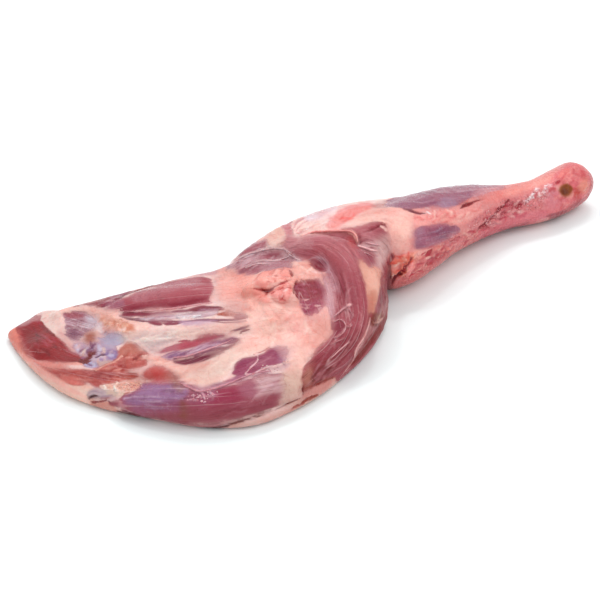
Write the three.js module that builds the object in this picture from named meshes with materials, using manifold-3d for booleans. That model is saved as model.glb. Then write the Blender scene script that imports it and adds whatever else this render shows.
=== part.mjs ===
import * as THREE from 'three';
import { mergeVertices } from 'three/addons/utils/BufferGeometryUtils.js';
import Module from 'manifold-3d';

// Raw lamb shoulder lying on its fat side, rib side up. X runs from the blade
// tip to the knuckle, Y away from the near edge, Z up. Millimetres throughout.

// Plan outline of the flat blade part, counted round from the tip.
const BLADE_OUTLINE = [
  [-241.5, 71], [-239.5, 78.5], [-226, 84.5], [-211, 89], [-190, 78], [-160, 64], [-128, 57],
  [-100, 55.5], [-74, 57], [-40, 61], [-8, 60], [12, 54], [24, 36],
  [23.5, 15], [16, -4.5], [3.7, -23], [-18.5, -43.5], [-50, -65], [-86, -83],
  [-122, -90.5], [-155, -78], [-185, -51.5], [-208, -30.5], [-227.5, -1.5], [-238, 36],
];
// Thickness of the blade part over the table: x, y, thickness.
const BLADE_THICKNESS = [
  [-234, 70, 9], [-212, 78, 13], [-214, 28, 17], [-195, 58, 20], [-190, -8, 21],
  [-165, 48, 26], [-115, 40, 34], [-60, 46, 42], [-15, 50, 48], [-150, 2, 30],
  [-105, -8, 38], [-75, -18, 47], [-48, 0, 49], [5, 20, 48], [0, -10, 40],
  [-50, -36, 42], [-30, -42, 34], [-60, -62, 26], [-100, -68, 22],
  [-150, -56, 20], [-193, -34, 13],
];
const THICKNESS_REACH = 18;
// The blade's edge is rounded over a width that grows with its thickness.
const EDGE_WIDTH = 5;
const EDGE_PER_THICKNESS = 0.62;
const WIDEST_HEIGHT = 0.22;
const UNDERSIDE_ROUNDING = 1.5;
const EDGE_POWER = 2.3;
const EDGE_SLOPE = 0.9;

// Muscles that swell out of the blade part. Each has stations along its length
// (x, y, z of the centre, half width), its height over its width, and the
// width of the hollow where it meets what is beside it.
const BLADE_MUSCLES = {
  farMuscle: {
    stations: [[-186, 57, 18, 7], [-160, 43, 22, 14], [-132, 32, 25, 17],
      [-106, 20, 28, 15], [-90, 14, 28, 7]],
    flat: 0.8, hollow: 4,
  },
  farStrap: {
    stations: [[-206, 68, 12, 6], [-165, 58, 20, 7], [-130, 50, 25, 8],
      [-98, 44, 29, 8], [-74, 44, 32, 6]],
    flat: 1, hollow: 4,
  },
  sinewStrip: {
    stations: [[-176, 34, 22, 5], [-150, 17, 27, 6], [-124, 4, 33, 6], [-100, -2, 36, 5]],
    flat: 0.8, hollow: 3,
  },
  middleRidge: {
    stations: [[-178, 20, 22, 7], [-150, 2, 25, 9], [-118, -20, 31, 9], [-92, -26, 33, 6]],
    flat: 0.7, hollow: 6,
  },
  redSpindle: {
    stations: [[-166, -22, 23, 4], [-140, -32, 25, 8], [-112, -42, 29, 8], [-98, -47, 33, 3]],
    flat: 0.75, hollow: 4,
  },
  paleRidge: {
    stations: [[-176, -24, 18, 7], [-150, -46, 20, 10], [-118, -55, 25, 10],
      [-84, -52, 27, 8], [-66, -46, 26, 4]],
    flat: 0.7, hollow: 7,
  },
  nearBelly: {
    stations: [[-194, -42, 8, 5], [-176, -50, 11, 12], [-148, -64, 14, 17],
      [-118, -68, 15, 17.5], [-94, -67, 15, 15], [-74, -61, 14, 9]],
    flat: 0.75, hollow: 5,
  },
  nearPatch: {
    stations: [[-134, -62, 20, 3], [-112, -66, 23, 8], [-88, -64, 26, 6]],
    flat: 0.7, hollow: 4,
  },
  shoulderBand: {
    stations: [[-66, 48, 36, 10], [-38, 38, 41, 15], [-16, 14, 43, 17],
      [-14, -12, 36, 17], [-26, -38, 26, 15], [-50, -56, 17, 11], [-76, -68, 11, 7]],
    flat: 0.9, hollow: 4,
  },
  shoulderRim: {
    stations: [[-44, 54, 38, 9], [-8, 46, 41, 14], [12, 27, 36, 15],
      [5, 6, 28, 13], [-8, -18, 20, 11], [-28, -38, 12, 8]],
    flat: 1, hollow: 4,
  },
  neckMuscle: {
    stations: [[-98, 44, 28, 5], [-76, 38, 34, 11], [-58, 24, 38, 9]],
    flat: 0.85, hollow: 4,
  },
  fatSkirt: {
    stations: [[-126, -82, 4, 4], [-90, -78.5, 4.5, 5], [-59, -66, 5, 5],
      [-26, -45, 6, 5.5], [-0.5, -20, 8, 6], [12, 1, 12, 6]],
    flat: 1, hollow: 2,
  },
  farLump: {
    stations: [[-86, 2, 41, 7], [-74, -4, 43, 9], [-62, -8, 44, 7]],
    flat: 0.9, hollow: 2,
  },
  nearLump: {
    stations: [[-82, -17, 41, 6], [-70, -21, 43, 8]],
    flat: 0.9, hollow: 2,
  },
};
// The leg: elbow muscle, forearm tapering to the shank, and the knuckle.
const LEG_MUSCLES = {
  shank: {
    stations: [[20, 38, 28, 27], [43, 38, 28.5, 30.5], [84, 56, 27, 27], [119, 66, 24, 23],
      [148, 71, 20, 18.5], [171, 72, 18, 17], [190, 71.5, 18, 17.5],
      [213, 78, 18, 18.5], [229, 84, 18.5, 18]],
    flat: 1, hollow: 1,
  },
  elbow: {
    stations: [[-76, 48, 33, 8.5], [-45, 54.5, 37, 14], [-12, 60.5, 36.5, 18],
      [24, 65.5, 34.5, 19], [52, 63.5, 32, 19.5], [80, 61.5, 29.5, 18]],
    flat: 1, hollow: 6,
  },
  knuckle: {
    stations: [[233, 85.5, 20, 11.5], [238.5, 83, 18.5, 9.5]],
    flat: 1, hollow: 4,
  },
};
const LEG_HOLLOW = 3;

// Size of the facets, and the space searched for the surface.
const FACET = 5.6;
const SPACE_LOW = [-251, -97, -14];
const SPACE_HIGH = [258, 114, 74];
const STEPS_PER_STATION = 5;
const OUTLINE_STEPS = 4;
const PINCH_ROUNDS = 3;
const PINCH_FILL = 0.1;
const SETTLE_ROUNDS = 3;
const SLOPE_STEP = 0.2;
const LARGEST_SETTLE = 1.5;
// Points this close to the table are pressed flat on it.
const TABLE_PRESS = 1.2;

const MEAT_COLOUR = 0xb8595f;
const MEAT_ROUGHNESS = 0.45;

function smoothCurve(points, steps, closed) {
  const vectors = points.map((p) => [...p]);
  const count = vectors.length;
  const last = closed ? count : count - 1;
  const reflect = (a, b) => a.map((value, i) => 2 * value - b[i]);
  const curve = [];
  for (let i = 0; i < last; i += 1) {
    const b = vectors[i];
    const c = vectors[(i + 1) % count];
    const before = closed || i > 0 ? vectors[(i + count - 1) % count] : reflect(b, c);
    const after = closed || i + 2 < count ? vectors[(i + 2) % count] : reflect(c, b);
    for (let s = 0; s < steps; s += 1) {
      const t = s / steps;
      curve.push(b.map((value, k) => 0.5 * (2 * value + (c[k] - before[k]) * t
        + (2 * before[k] - 5 * value + 4 * c[k] - after[k]) * t * t
        + (3 * value - before[k] - 3 * c[k] + after[k]) * t * t * t)));
    }
  }
  if (!closed) curve.push(vectors[count - 1]);
  return curve;
}

function blend(a, b, width) {
  const overlap = Math.max(width - Math.abs(a - b), 0) / width;
  return Math.min(a, b) - overlap * overlap * width / 4;
}

const outline = smoothCurve(BLADE_OUTLINE, OUTLINE_STEPS, true);

function distanceInside(x, y) {
  let nearest = Infinity;
  let inside = false;
  for (let i = 0; i < outline.length; i += 1) {
    const [ax, ay] = outline[i];
    const [bx, by] = outline[(i + 1) % outline.length];
    const ex = bx - ax;
    const ey = by - ay;
    const along = ((x - ax) * ex + (y - ay) * ey) / (ex * ex + ey * ey);
    const t = Math.min(Math.max(along, 0), 1);
    nearest = Math.min(nearest, Math.hypot(x - ax - t * ex, y - ay - t * ey));
    if ((ay > y) !== (by > y) && x < (ex * (y - ay)) / ey + ax) inside = !inside;
  }
  return inside ? nearest : -nearest;
}

function thicknessAt(x, y) {
  let total = 0;
  let weights = 0;
  for (const [px, py, thickness] of BLADE_THICKNESS) {
    const apart = (x - px) ** 2 + (y - py) ** 2 + THICKNESS_REACH ** 2;
    total += thickness / apart ** 2;
    weights += 1 / apart ** 2;
  }
  return total / weights;
}

function bladeDistance(x, y, z) {
  const thickness = thicknessAt(x, y);
  const edge = EDGE_PER_THICKNESS * thickness + EDGE_WIDTH;
  const widest = WIDEST_HEIGHT * thickness;
  const outward = Math.max(0, (edge - distanceInside(x, y)) / edge);
  const upward = z > widest
    ? (z - widest) / (thickness - widest)
    : (widest - z) / (UNDERSIDE_ROUNDING * widest);
  const reach = (outward ** EDGE_POWER + upward ** EDGE_POWER) ** (1 / EDGE_POWER);
  return (reach - 1) * Math.min(edge, thickness) * EDGE_SLOPE;
}

// A muscle is a chain of tapering round rods, pressed to its height.
function rods(muscle) {
  const curve = smoothCurve(muscle.stations, STEPS_PER_STATION, false);
  const pieces = [];
  for (let i = 0; i + 1 < curve.length; i += 1) {
    const [ax, ay, az, ar] = curve[i];
    const [bx, by, bz, br] = curve[i + 1];
    const ex = bx - ax;
    const ey = by - ay;
    const ez = (bz - az) / muscle.flat;
    pieces.push({ ax, ay, az, ar, ex, ey, ez, taper: br - ar, square: ex * ex + ey * ey + ez * ez });
  }
  return { pieces, flat: muscle.flat, hollow: muscle.hollow };
}

function rodDistance(muscle, x, y, z) {
  let nearest = Infinity;
  for (const rod of muscle.pieces) {
    const px = x - rod.ax;
    const py = y - rod.ay;
    const pz = (z - rod.az) / muscle.flat;
    const along = (px * rod.ex + py * rod.ey + pz * rod.ez) / rod.square;
    const t = Math.min(Math.max(along, 0), 1);
    const away = Math.hypot(px - t * rod.ex, py - t * rod.ey, pz - t * rod.ez);
    nearest = Math.min(nearest, away - rod.ar - t * rod.taper);
  }
  return nearest * Math.sqrt(muscle.flat);
}

const bladeMuscles = Object.values(BLADE_MUSCLES).map(rods);
const legMuscles = Object.values(LEG_MUSCLES).map(rods);

function meatDistance(x, y, z) {
  let blade = bladeDistance(x, y, z);
  for (const muscle of bladeMuscles) {
    blade = blend(blade, rodDistance(muscle, x, y, z), muscle.hollow);
  }
  let leg = Infinity;
  for (const muscle of legMuscles) {
    leg = blend(leg, rodDistance(muscle, x, y, z), muscle.hollow);
  }
  return blend(blade, leg, LEG_HOLLOW);
}

// Where meat touches itself only along a line, the crease is filled in.
function fillPinches(values, stride) {
  for (let round = 0; round < PINCH_ROUNDS; round += 1) {
    for (let here = 0; here < values.length; here += 1) {
      for (let axis = 0; axis < 3; axis += 1) {
        const u = stride[axis];
        const v = stride[(axis + 1) % 3];
        if (here + u + v >= values.length) continue;
        const ring = [here, here + u, here + u + v, here + v];
        const meat = ring.map((n) => values[n] < 0);
        if (meat[0] !== meat[2] || meat[1] !== meat[3] || meat[0] === meat[1]) continue;
        const open = ring.filter((n) => values[n] >= 0);
        const shallow = values[open[0]] < values[open[1]] ? open[0] : open[1];
        values[shallow] = -PINCH_FILL;
      }
    }
  }
}

// One point in every small cube that the surface passes through, joined to
// its neighbours across every cube edge that the surface crosses.
function surfaceMesh() {
  const count = SPACE_LOW.map((low, i) => Math.ceil((SPACE_HIGH[i] - low) / FACET) + 1);
  const stride = [count[1] * count[2], count[2], 1];
  const at = (i, j, k) => i * stride[0] + j * stride[1] + k;
  const values = new Float64Array(count[0] * stride[0]);
  for (let i = 0; i < count[0]; i += 1) {
    for (let j = 0; j < count[1]; j += 1) {
      for (let k = 0; k < count[2]; k += 1) {
        values[at(i, j, k)] = meatDistance(
          SPACE_LOW[0] + i * FACET,
          SPACE_LOW[1] + j * FACET,
          SPACE_LOW[2] + k * FACET,
        );
      }
    }
  }
  fillPinches(values, stride);
  const corners = [];
  for (let c = 0; c < 8; c += 1) corners.push([c & 1, (c >> 1) & 1, (c >> 2) & 1]);
  const pointOf = new Int32Array(values.length).fill(-1);
  const points = [];
  for (let i = 0; i + 1 < count[0]; i += 1) {
    for (let j = 0; j + 1 < count[1]; j += 1) {
      for (let k = 0; k + 1 < count[2]; k += 1) {
        const sum = [0, 0, 0];
        let crossings = 0;
        for (const corner of corners) {
          const first = values[at(i + corner[0], j + corner[1], k + corner[2])];
          for (let axis = 0; axis < 3; axis += 1) {
            if (corner[axis] === 1) continue;
            const other = [...corner];
            other[axis] = 1;
            const second = values[at(i + other[0], j + other[1], k + other[2])];
            if ((first < 0) === (second < 0)) continue;
            const t = first / (first - second);
            crossings += 1;
            for (let q = 0; q < 3; q += 1) sum[q] += corner[q] + (q === axis ? t : 0);
          }
        }
        if (crossings === 0) continue;
        pointOf[at(i, j, k)] = points.length;
        const cube = [i, j, k];
        points.push(cube.map((n, q) => SPACE_LOW[q] + (n + sum[q] / crossings) * FACET));
      }
    }
  }
  const quads = [];
  for (let i = 1; i + 1 < count[0]; i += 1) {
    for (let j = 1; j + 1 < count[1]; j += 1) {
      for (let k = 1; k + 1 < count[2]; k += 1) {
        const here = at(i, j, k);
        for (let axis = 0; axis < 3; axis += 1) {
          const first = values[here];
          const second = values[here + stride[axis]];
          if ((first < 0) === (second < 0)) continue;
          const u = stride[(axis + 1) % 3];
          const v = stride[(axis + 2) % 3];
          const ring = [here, here - u, here - u - v, here - v].map((n) => pointOf[n]);
          quads.push(first < 0 ? ring : ring.reverse());
        }
      }
    }
  }
  return { points, quads };
}

function settle(point) {
  for (let round = 0; round < SETTLE_ROUNDS; round += 1) {
    const slope = [0, 1, 2].map((axis) => {
      const ahead = [...point];
      const behind = [...point];
      ahead[axis] += SLOPE_STEP;
      behind[axis] -= SLOPE_STEP;
      return (meatDistance(...ahead) - meatDistance(...behind)) / (2 * SLOPE_STEP);
    });
    const steepness = Math.hypot(...slope);
    const wanted = meatDistance(...point) / steepness;
    const move = Math.min(Math.max(wanted, -LARGEST_SETTLE), LARGEST_SETTLE);
    for (let axis = 0; axis < 3; axis += 1) point[axis] -= (move * slope[axis]) / steepness;
  }
  if (Math.abs(point[2]) < TABLE_PRESS) point[2] = 0;
}

const wasm = await Module();
wasm.setup();

function toSolid(positions, triangles) {
  return new wasm.Manifold(new wasm.Mesh({
    numProp: 3,
    vertProperties: new Float32Array(positions),
    triVerts: new Uint32Array(triangles),
  }));
}

function boxSolid(size, centre) {
  const box = new THREE.BoxGeometry(...size).translate(...centre);
  box.deleteAttribute('normal');
  box.deleteAttribute('uv');
  const welded = mergeVertices(box);
  return toSolid(welded.attributes.position.array, welded.index.array);
}

function meatSolid() {
  const { points, quads } = surfaceMesh();
  points.forEach(settle);
  const gap = (a, b) => Math.hypot(...points[a].map((value, i) => value - points[b][i]));
  const triangles = [];
  for (const [a, b, c, d] of quads) {
    if (gap(a, c) < gap(b, d)) triangles.push(a, b, c, a, c, d);
    else triangles.push(a, b, d, b, c, d);
  }
  return toSolid(points.flat(), triangles);
}

// The table trims what would hang below it to one flat resting face.
const width = SPACE_HIGH[0] - SPACE_LOW[0];
const depth = SPACE_HIGH[1] - SPACE_LOW[1];
const drop = -SPACE_LOW[2];
const middle = [(SPACE_HIGH[0] + SPACE_LOW[0]) / 2, (SPACE_HIGH[1] + SPACE_LOW[1]) / 2];
const table = boxSolid([width, depth, drop], [...middle, -drop / 2]);
const trimmed = meatSolid().subtract(table).getMesh();

const geometry = new THREE.BufferGeometry();
geometry.setAttribute('position', new THREE.BufferAttribute(trimmed.vertProperties, 3));
geometry.setIndex(new THREE.BufferAttribute(trimmed.triVerts, 1));
geometry.computeBoundingBox();
const centre = geometry.boundingBox.getCenter(new THREE.Vector3());
geometry.translate(-centre.x, -centre.y, -geometry.boundingBox.min.z);
geometry.computeVertexNormals();

const meat = new THREE.MeshStandardMaterial({
  color: MEAT_COLOUR,
  roughness: MEAT_ROUGHNESS,
  metalness: 0,
});
const group = new THREE.Group();
const shoulder = new THREE.Mesh(geometry, meat);
shoulder.name = 'lamb_shoulder';
group.add(shoulder);

export default group;
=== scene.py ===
import math

import bpy
import numpy as np
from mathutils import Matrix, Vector
from mathutils.bvhtree import BVHTree
from mathutils.kdtree import KDTree


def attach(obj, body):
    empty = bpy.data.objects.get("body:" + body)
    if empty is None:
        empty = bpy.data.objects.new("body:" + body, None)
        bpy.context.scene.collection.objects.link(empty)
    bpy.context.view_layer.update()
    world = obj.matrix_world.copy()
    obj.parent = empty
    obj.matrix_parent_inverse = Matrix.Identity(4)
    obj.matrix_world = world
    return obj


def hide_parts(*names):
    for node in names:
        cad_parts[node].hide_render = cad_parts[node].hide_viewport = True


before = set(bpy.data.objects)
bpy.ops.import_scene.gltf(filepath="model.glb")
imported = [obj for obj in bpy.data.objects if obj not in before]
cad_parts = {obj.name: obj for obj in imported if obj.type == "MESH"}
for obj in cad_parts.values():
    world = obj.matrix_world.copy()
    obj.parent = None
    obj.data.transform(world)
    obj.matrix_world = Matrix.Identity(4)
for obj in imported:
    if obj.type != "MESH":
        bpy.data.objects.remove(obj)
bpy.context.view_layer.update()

MM = 0.001

# The viewpoint. A long lens looks down on the rib side of the shoulder from
# beyond its near edge. Marks on the meat are placed by the photograph's
# pixels, so the view is settled before anything is made.
PHOTO_SIDE = 600
LENS = 85
SENSOR = 36
CAMERA_TURN = math.radians(-24.37)
CAMERA_RISE = math.radians(32)
CAMERA_DISTANCE = 1040
CAMERA_TARGET = np.array([-36.62, 33.97, 0])

camera_back = np.array([
    math.sin(CAMERA_TURN) * math.cos(CAMERA_RISE),
    -math.cos(CAMERA_TURN) * math.cos(CAMERA_RISE),
    math.sin(CAMERA_RISE),
])
camera_right = np.array([math.cos(CAMERA_TURN), math.sin(CAMERA_TURN), 0])
camera_up = np.cross(camera_back, camera_right)
camera_place = CAMERA_TARGET + camera_back * CAMERA_DISTANCE
PIXELS_PER_SLOPE = PHOTO_SIDE * LENS / SENSOR


def photo_place(points):
    """Photograph pixels of points in millimetres."""
    away = points - camera_place
    depth = -away @ camera_back
    across = away @ camera_right / depth * PIXELS_PER_SLOPE
    down = away @ camera_up / depth * PIXELS_PER_SLOPE
    return np.stack([PHOTO_SIDE / 2 + across, PHOTO_SIDE / 2 - down], 1)


def photo_ray(pixel):
    """Direction from the camera through a pixel of the photograph."""
    across = (pixel[0] - PHOTO_SIDE / 2) / PIXELS_PER_SLOPE
    down = (pixel[1] - PHOTO_SIDE / 2) / PIXELS_PER_SLOPE
    ray = camera_right * across - camera_up * down - camera_back
    return ray / np.linalg.norm(ray)


lens_data = bpy.data.cameras.new("camera")
lens_data.lens = LENS
lens_data.sensor_width = SENSOR
camera = bpy.data.objects.new("camera", lens_data)
camera.location = camera_place * MM
camera.rotation_euler = (math.pi / 2 - CAMERA_RISE, 0, CAMERA_TURN)
bpy.context.collection.objects.link(camera)
bpy.context.scene.camera = camera

# The shoulder: one piece of meat, a flat blade part with the rib side up and
# the leg running off it. Muscles swell out of it under fat and silverskin.
# It rests on its outer fat side. Millimetres, as the solid behind it has.
DRAWING_CENTRE = np.array([3.42, 5.73, 0])
BLADE_OUTLINE = [
    (-241.5, 71), (-239.5, 78.5), (-226, 84.5), (-211, 89), (-190, 78), (-160, 64), (-128, 57),
    (-100, 55.5), (-74, 57), (-40, 61), (-8, 60), (12, 54), (24, 36),
    (23.5, 15), (16, -4.5), (3.7, -23), (-18.5, -43.5), (-50, -65), (-86, -83),
    (-122, -90.5), (-155, -78), (-185, -51.5), (-208, -30.5), (-227.5, -1.5), (-238, 36),
]
BLADE_THICKNESS = [
    (-234, 70, 9), (-212, 78, 13), (-214, 28, 17), (-195, 58, 20), (-190, -8, 21),
    (-165, 48, 26), (-115, 40, 34), (-60, 46, 42), (-15, 50, 48), (-150, 2, 30),
    (-105, -8, 38), (-75, -18, 47), (-48, 0, 49), (5, 20, 48), (0, -10, 40),
    (-50, -36, 42), (-30, -42, 34), (-60, -62, 26), (-100, -68, 22),
    (-150, -56, 20), (-193, -34, 13),
]
THICKNESS_REACH = 18
EDGE_WIDTH = 5
EDGE_PER_THICKNESS = 0.62
WIDEST_HEIGHT = 0.22
UNDERSIDE_ROUNDING = 1.5
EDGE_POWER = 2.3
EDGE_SLOPE = 0.9

# Each muscle: stations along it (x, y, z, half width), height over width, and
# the width of the hollow beside it.
BLADE_MUSCLES = dict(
    far_muscle=([(-186, 57, 18, 7), (-160, 43, 22, 14), (-132, 32, 25, 17), (-106, 20, 28, 15),
        (-90, 14, 28, 7)], 0.8, 4),
    far_strap=([(-206, 68, 12, 6), (-165, 58, 20, 7), (-130, 50, 25, 8), (-98, 44, 29, 8),
        (-74, 44, 32, 6)], 1, 4),
    sinew_strip=([(-176, 34, 22, 5), (-150, 17, 27, 6), (-124, 4, 33, 6), (-100, -2, 36, 5)], 0.8, 3),
    middle_ridge=([(-178, 20, 22, 7), (-150, 2, 25, 9), (-118, -20, 31, 9), (-92, -26, 33, 6)], 0.7, 6),
    red_spindle=([(-166, -22, 23, 4), (-140, -32, 25, 8), (-112, -42, 29, 8), (-98, -47, 33, 3)], 0.75,
        4),
    pale_ridge=([(-176, -24, 18, 7), (-150, -46, 20, 10), (-118, -55, 25, 10), (-84, -52, 27, 8),
        (-66, -46, 26, 4)], 0.7, 7),
    near_belly=([(-194, -42, 8, 5), (-176, -50, 11, 12), (-148, -64, 14, 17), (-118, -68, 15, 17.5),
        (-94, -67, 15, 15), (-74, -61, 14, 9)], 0.75, 5),
    near_patch=([(-134, -62, 20, 3), (-112, -66, 23, 8), (-88, -64, 26, 6)], 0.7, 4),
    shoulder_band=([(-66, 48, 36, 10), (-38, 38, 41, 15), (-16, 14, 43, 17), (-14, -12, 36, 17),
        (-26, -38, 26, 15), (-50, -56, 17, 11), (-76, -68, 11, 7)], 0.9, 4),
    shoulder_rim=([(-44, 54, 38, 9), (-8, 46, 41, 14), (12, 27, 36, 15), (5, 6, 28, 13),
        (-8, -18, 20, 11), (-28, -38, 12, 8)], 1, 4),
    neck_muscle=([(-98, 44, 28, 5), (-76, 38, 34, 11), (-58, 24, 38, 9)], 0.85, 4),
    fat_skirt=([(-126, -82, 4, 4), (-90, -78.5, 4.5, 5), (-59, -66, 5, 5), (-26, -45, 6, 5.5),
        (-0.5, -20, 8, 6), (12, 1, 12, 6)], 1, 2),
    far_lump=([(-86, 2, 41, 7), (-74, -4, 43, 9), (-62, -8, 44, 7)], 0.9, 2),
    near_lump=([(-82, -17, 41, 6), (-70, -21, 43, 8)], 0.9, 2),
)
LEG_MUSCLES = dict(
    shank=([(20, 38, 28, 27), (43, 38, 28.5, 30.5), (84, 56, 27, 27), (119, 66, 24, 23),
        (148, 71, 20, 18.5), (171, 72, 18, 17), (190, 71.5, 18, 17.5), (213, 78, 18, 18.5),
        (229, 84, 18.5, 18)], 1, 1),
    elbow=([(-76, 48, 33, 8.5), (-45, 54.5, 37, 14), (-12, 60.5, 36.5, 18), (24, 65.5, 34.5, 19),
        (52, 63.5, 32, 19.5), (80, 61.5, 29.5, 18)], 1, 6),
    knuckle=([(233, 85.5, 20, 11.5), (238.5, 83, 18.5, 9.5)], 1, 4),
)
LEG_HOLLOW = 3
STEPS_PER_STATION = 5

SPACE_LOW = np.array([-251, -97, -5.2])
SPACE_HIGH = np.array([258, 114, 70])
CELL = 2.0
SETTLE_ROUNDS = 2
FINE_FACING = -0.02
SLOPE_STEP = 0.25
LARGEST_SETTLE = 1.0
TABLE_PRESS = 0.9
FAR_OFF = 60.0


def smooth_curve(points, steps, closed=False):
    """Points on a Catmull-Rom curve through the given ones."""
    given = np.array(points, float)
    count = len(given)
    t = (np.arange(steps) / steps)[:, None]
    curve = []
    for i in range(count if closed else count - 1):
        b = given[i]
        c = given[(i + 1) % count]
        before = given[i - 1] if closed or i else 2 * b - c
        after = given[(i + 2) % count] if closed or i + 2 < count else 2 * c - b
        curve.append(0.5 * (2 * b + (c - before) * t
                            + (2 * before - 5 * b + 4 * c - after) * t ** 2
                            + (3 * b - before - 3 * c + after) * t ** 3))
    if not closed:
        curve.append(given[-1:])
    return np.concatenate(curve)


def distance_inside(points, outline):
    """Distance in from a closed outline in the plane, negative outside it."""
    nearest = np.full(len(points), np.inf)
    inside = np.zeros(len(points), bool)
    x, y = points[:, 0], points[:, 1]
    for (ax, ay), (bx, by) in zip(outline, np.roll(outline, -1, 0)):
        ex, ey = bx - ax, by - ay
        length = max(ex * ex + ey * ey, 1e-9)
        t = np.clip(((x - ax) * ex + (y - ay) * ey) / length, 0, 1)
        nearest = np.minimum(nearest, (x - ax - t * ex) ** 2 + (y - ay - t * ey) ** 2)
        if ey:
            inside ^= ((ay > y) != (by > y)) & (x < ex * (y - ay) / ey + ax)
    return np.where(inside, 1, -1) * np.sqrt(nearest)


def blend(a, b, width):
    """The smaller of two distances, rounded where they are within a width."""
    overlap = np.maximum(width - np.abs(a - b), 0) / width
    return np.minimum(a, b) - overlap ** 2 * width / 4


blade_loop = smooth_curve(BLADE_OUTLINE, 4, closed=True)


def blade_distance(points):
    """Distance to the flat blade part, negative in it."""
    flat = points[:, :2]
    columns, column = np.unique(np.round(flat, 3), axis=0, return_inverse=True)
    column = column.ravel()
    inward = distance_inside(columns, blade_loop)
    total = np.zeros(len(columns))
    weights = np.zeros(len(columns))
    for x, y, thickness in BLADE_THICKNESS:
        apart = (columns[:, 0] - x) ** 2 + (columns[:, 1] - y) ** 2 + THICKNESS_REACH ** 2
        total += thickness / apart ** 2
        weights += 1 / apart ** 2
    thickness = (total / weights)[column]
    inward = inward[column]
    edge = EDGE_PER_THICKNESS * thickness + EDGE_WIDTH
    widest = WIDEST_HEIGHT * thickness
    z = points[:, 2]
    outward = np.maximum(0, (edge - inward) / edge)
    upward = np.where(z > widest, (z - widest) / (thickness - widest),
                      (widest - z) / (UNDERSIDE_ROUNDING * widest))
    reach = (outward ** EDGE_POWER + upward ** EDGE_POWER) ** (1 / EDGE_POWER)
    return (reach - 1) * np.minimum(edge, thickness) * EDGE_SLOPE


def join_muscle(points, distance, muscle):
    """Distance to what is there already, blended with one more muscle."""
    stations, flat, hollow = muscle
    curve = smooth_curve(stations, STEPS_PER_STATION)
    squash = np.array([1, 1, 1 / flat])
    centres, radii = curve[:, :3] * squash, curve[:, 3]
    low = (centres - radii[:, None]).min(0)
    high = (centres + radii[:, None]).max(0)
    pressed = points * squash
    gap = np.linalg.norm(np.maximum(np.maximum(low - pressed, pressed - high), 0), axis=1)
    near = gap * math.sqrt(flat) < distance + hollow
    here = pressed[near]
    nearest = np.full(len(here), np.inf)
    for i in range(len(curve) - 1):
        along = centres[i + 1] - centres[i]
        away = here - centres[i]
        t = np.clip(away @ along / (along @ along), 0, 1)
        reach = np.linalg.norm(away - t[:, None] * along, axis=1)
        nearest = np.minimum(nearest, reach - radii[i] - t * (radii[i + 1] - radii[i]))
    joined = distance.copy()
    joined[near] = blend(distance[near], nearest * math.sqrt(flat), hollow)
    return joined


def meat_distance(points):
    blade = blade_distance(points)
    for muscle in BLADE_MUSCLES.values():
        blade = join_muscle(points, blade, muscle)
    leg = np.full(len(points), FAR_OFF)
    for muscle in LEG_MUSCLES.values():
        leg = join_muscle(points, leg, muscle)
    return blend(blade, leg, LEG_HOLLOW)


def surface_mesh():
    """Points and four-sided faces over the meat, one point in each small cube."""
    count = np.ceil((SPACE_HIGH - SPACE_LOW) / CELL).astype(int) + 1
    axes = [SPACE_LOW[i] + np.arange(count[i]) * CELL for i in range(3)]
    grid = np.stack(np.meshgrid(*axes, indexing="ij"), -1).reshape(-1, 3)
    values = np.maximum(meat_distance(grid), -grid[:, 2]).reshape(count)
    lower, upper = slice(None, -1), slice(1, None)
    total = np.zeros((*(count - 1), 3))
    crossings = np.zeros(count - 1)
    for corner in np.ndindex(2, 2, 2):
        for axis in range(3):
            if corner[axis]:
                continue
            other = list(corner)
            other[axis] = 1
            first = values[tuple(upper if c else lower for c in corner)]
            second = values[tuple(upper if c else lower for c in other)]
            crossed = (first < 0) != (second < 0)
            t = np.where(crossed, first / np.where(crossed, first - second, 1), 0)
            crossings += crossed
            for q in range(3):
                total[..., q] += crossed * (corner[q] + (t if q == axis else 0))
    active = crossings > 0
    number = np.full(crossings.shape, -1)
    number[active] = np.arange(active.sum())
    points = SPACE_LOW + CELL * (np.argwhere(active) + total[active] / crossings[active][:, None])
    faces = []
    for axis in range(3):
        u, v = (axis + 1) % 3, (axis + 2) % 3
        start = [slice(1, -1)] * 3
        start[axis] = lower
        ahead = list(start)
        ahead[axis] = upper
        first, second = values[tuple(start)], values[tuple(ahead)]
        place = np.argwhere((first < 0) != (second < 0))
        offset = np.ones(3, int)
        offset[axis] = 0
        place += offset
        ring = []
        for back_u, back_v in ((0, 0), (1, 0), (1, 1), (0, 1)):
            cube = place.copy()
            cube[:, u] -= back_u
            cube[:, v] -= back_v
            ring.append(number[tuple(cube.T)])
        ring = np.stack(ring, 1)
        outward = values[tuple(place.T)] < 0
        faces.append(np.where(outward[:, None], ring, ring[:, ::-1]))
    return points, np.concatenate(faces)


def settle(points, rounds):
    """Moves points onto the true surface; those at the table stay flat on it."""
    for _ in range(rounds):
        slope = np.stack([
            meat_distance(points + SLOPE_STEP * side) - meat_distance(points - SLOPE_STEP * side)
            for side in np.eye(3)], 1) / (2 * SLOPE_STEP)
        on_table = points[:, 2] < TABLE_PRESS
        slope[on_table, 2] = 0
        steepness = np.linalg.norm(slope, axis=1) + 1e-6
        distance = meat_distance(points)
        inner = on_table & (distance < -LARGEST_SETTLE)
        move = np.clip(distance / steepness, -LARGEST_SETTLE, LARGEST_SETTLE)
        move[inner] = 0
        points = points - (move / steepness)[:, None] * slope
        points[:, 2] = np.where(points[:, 2] < TABLE_PRESS, 0, points[:, 2])
    return points


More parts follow.
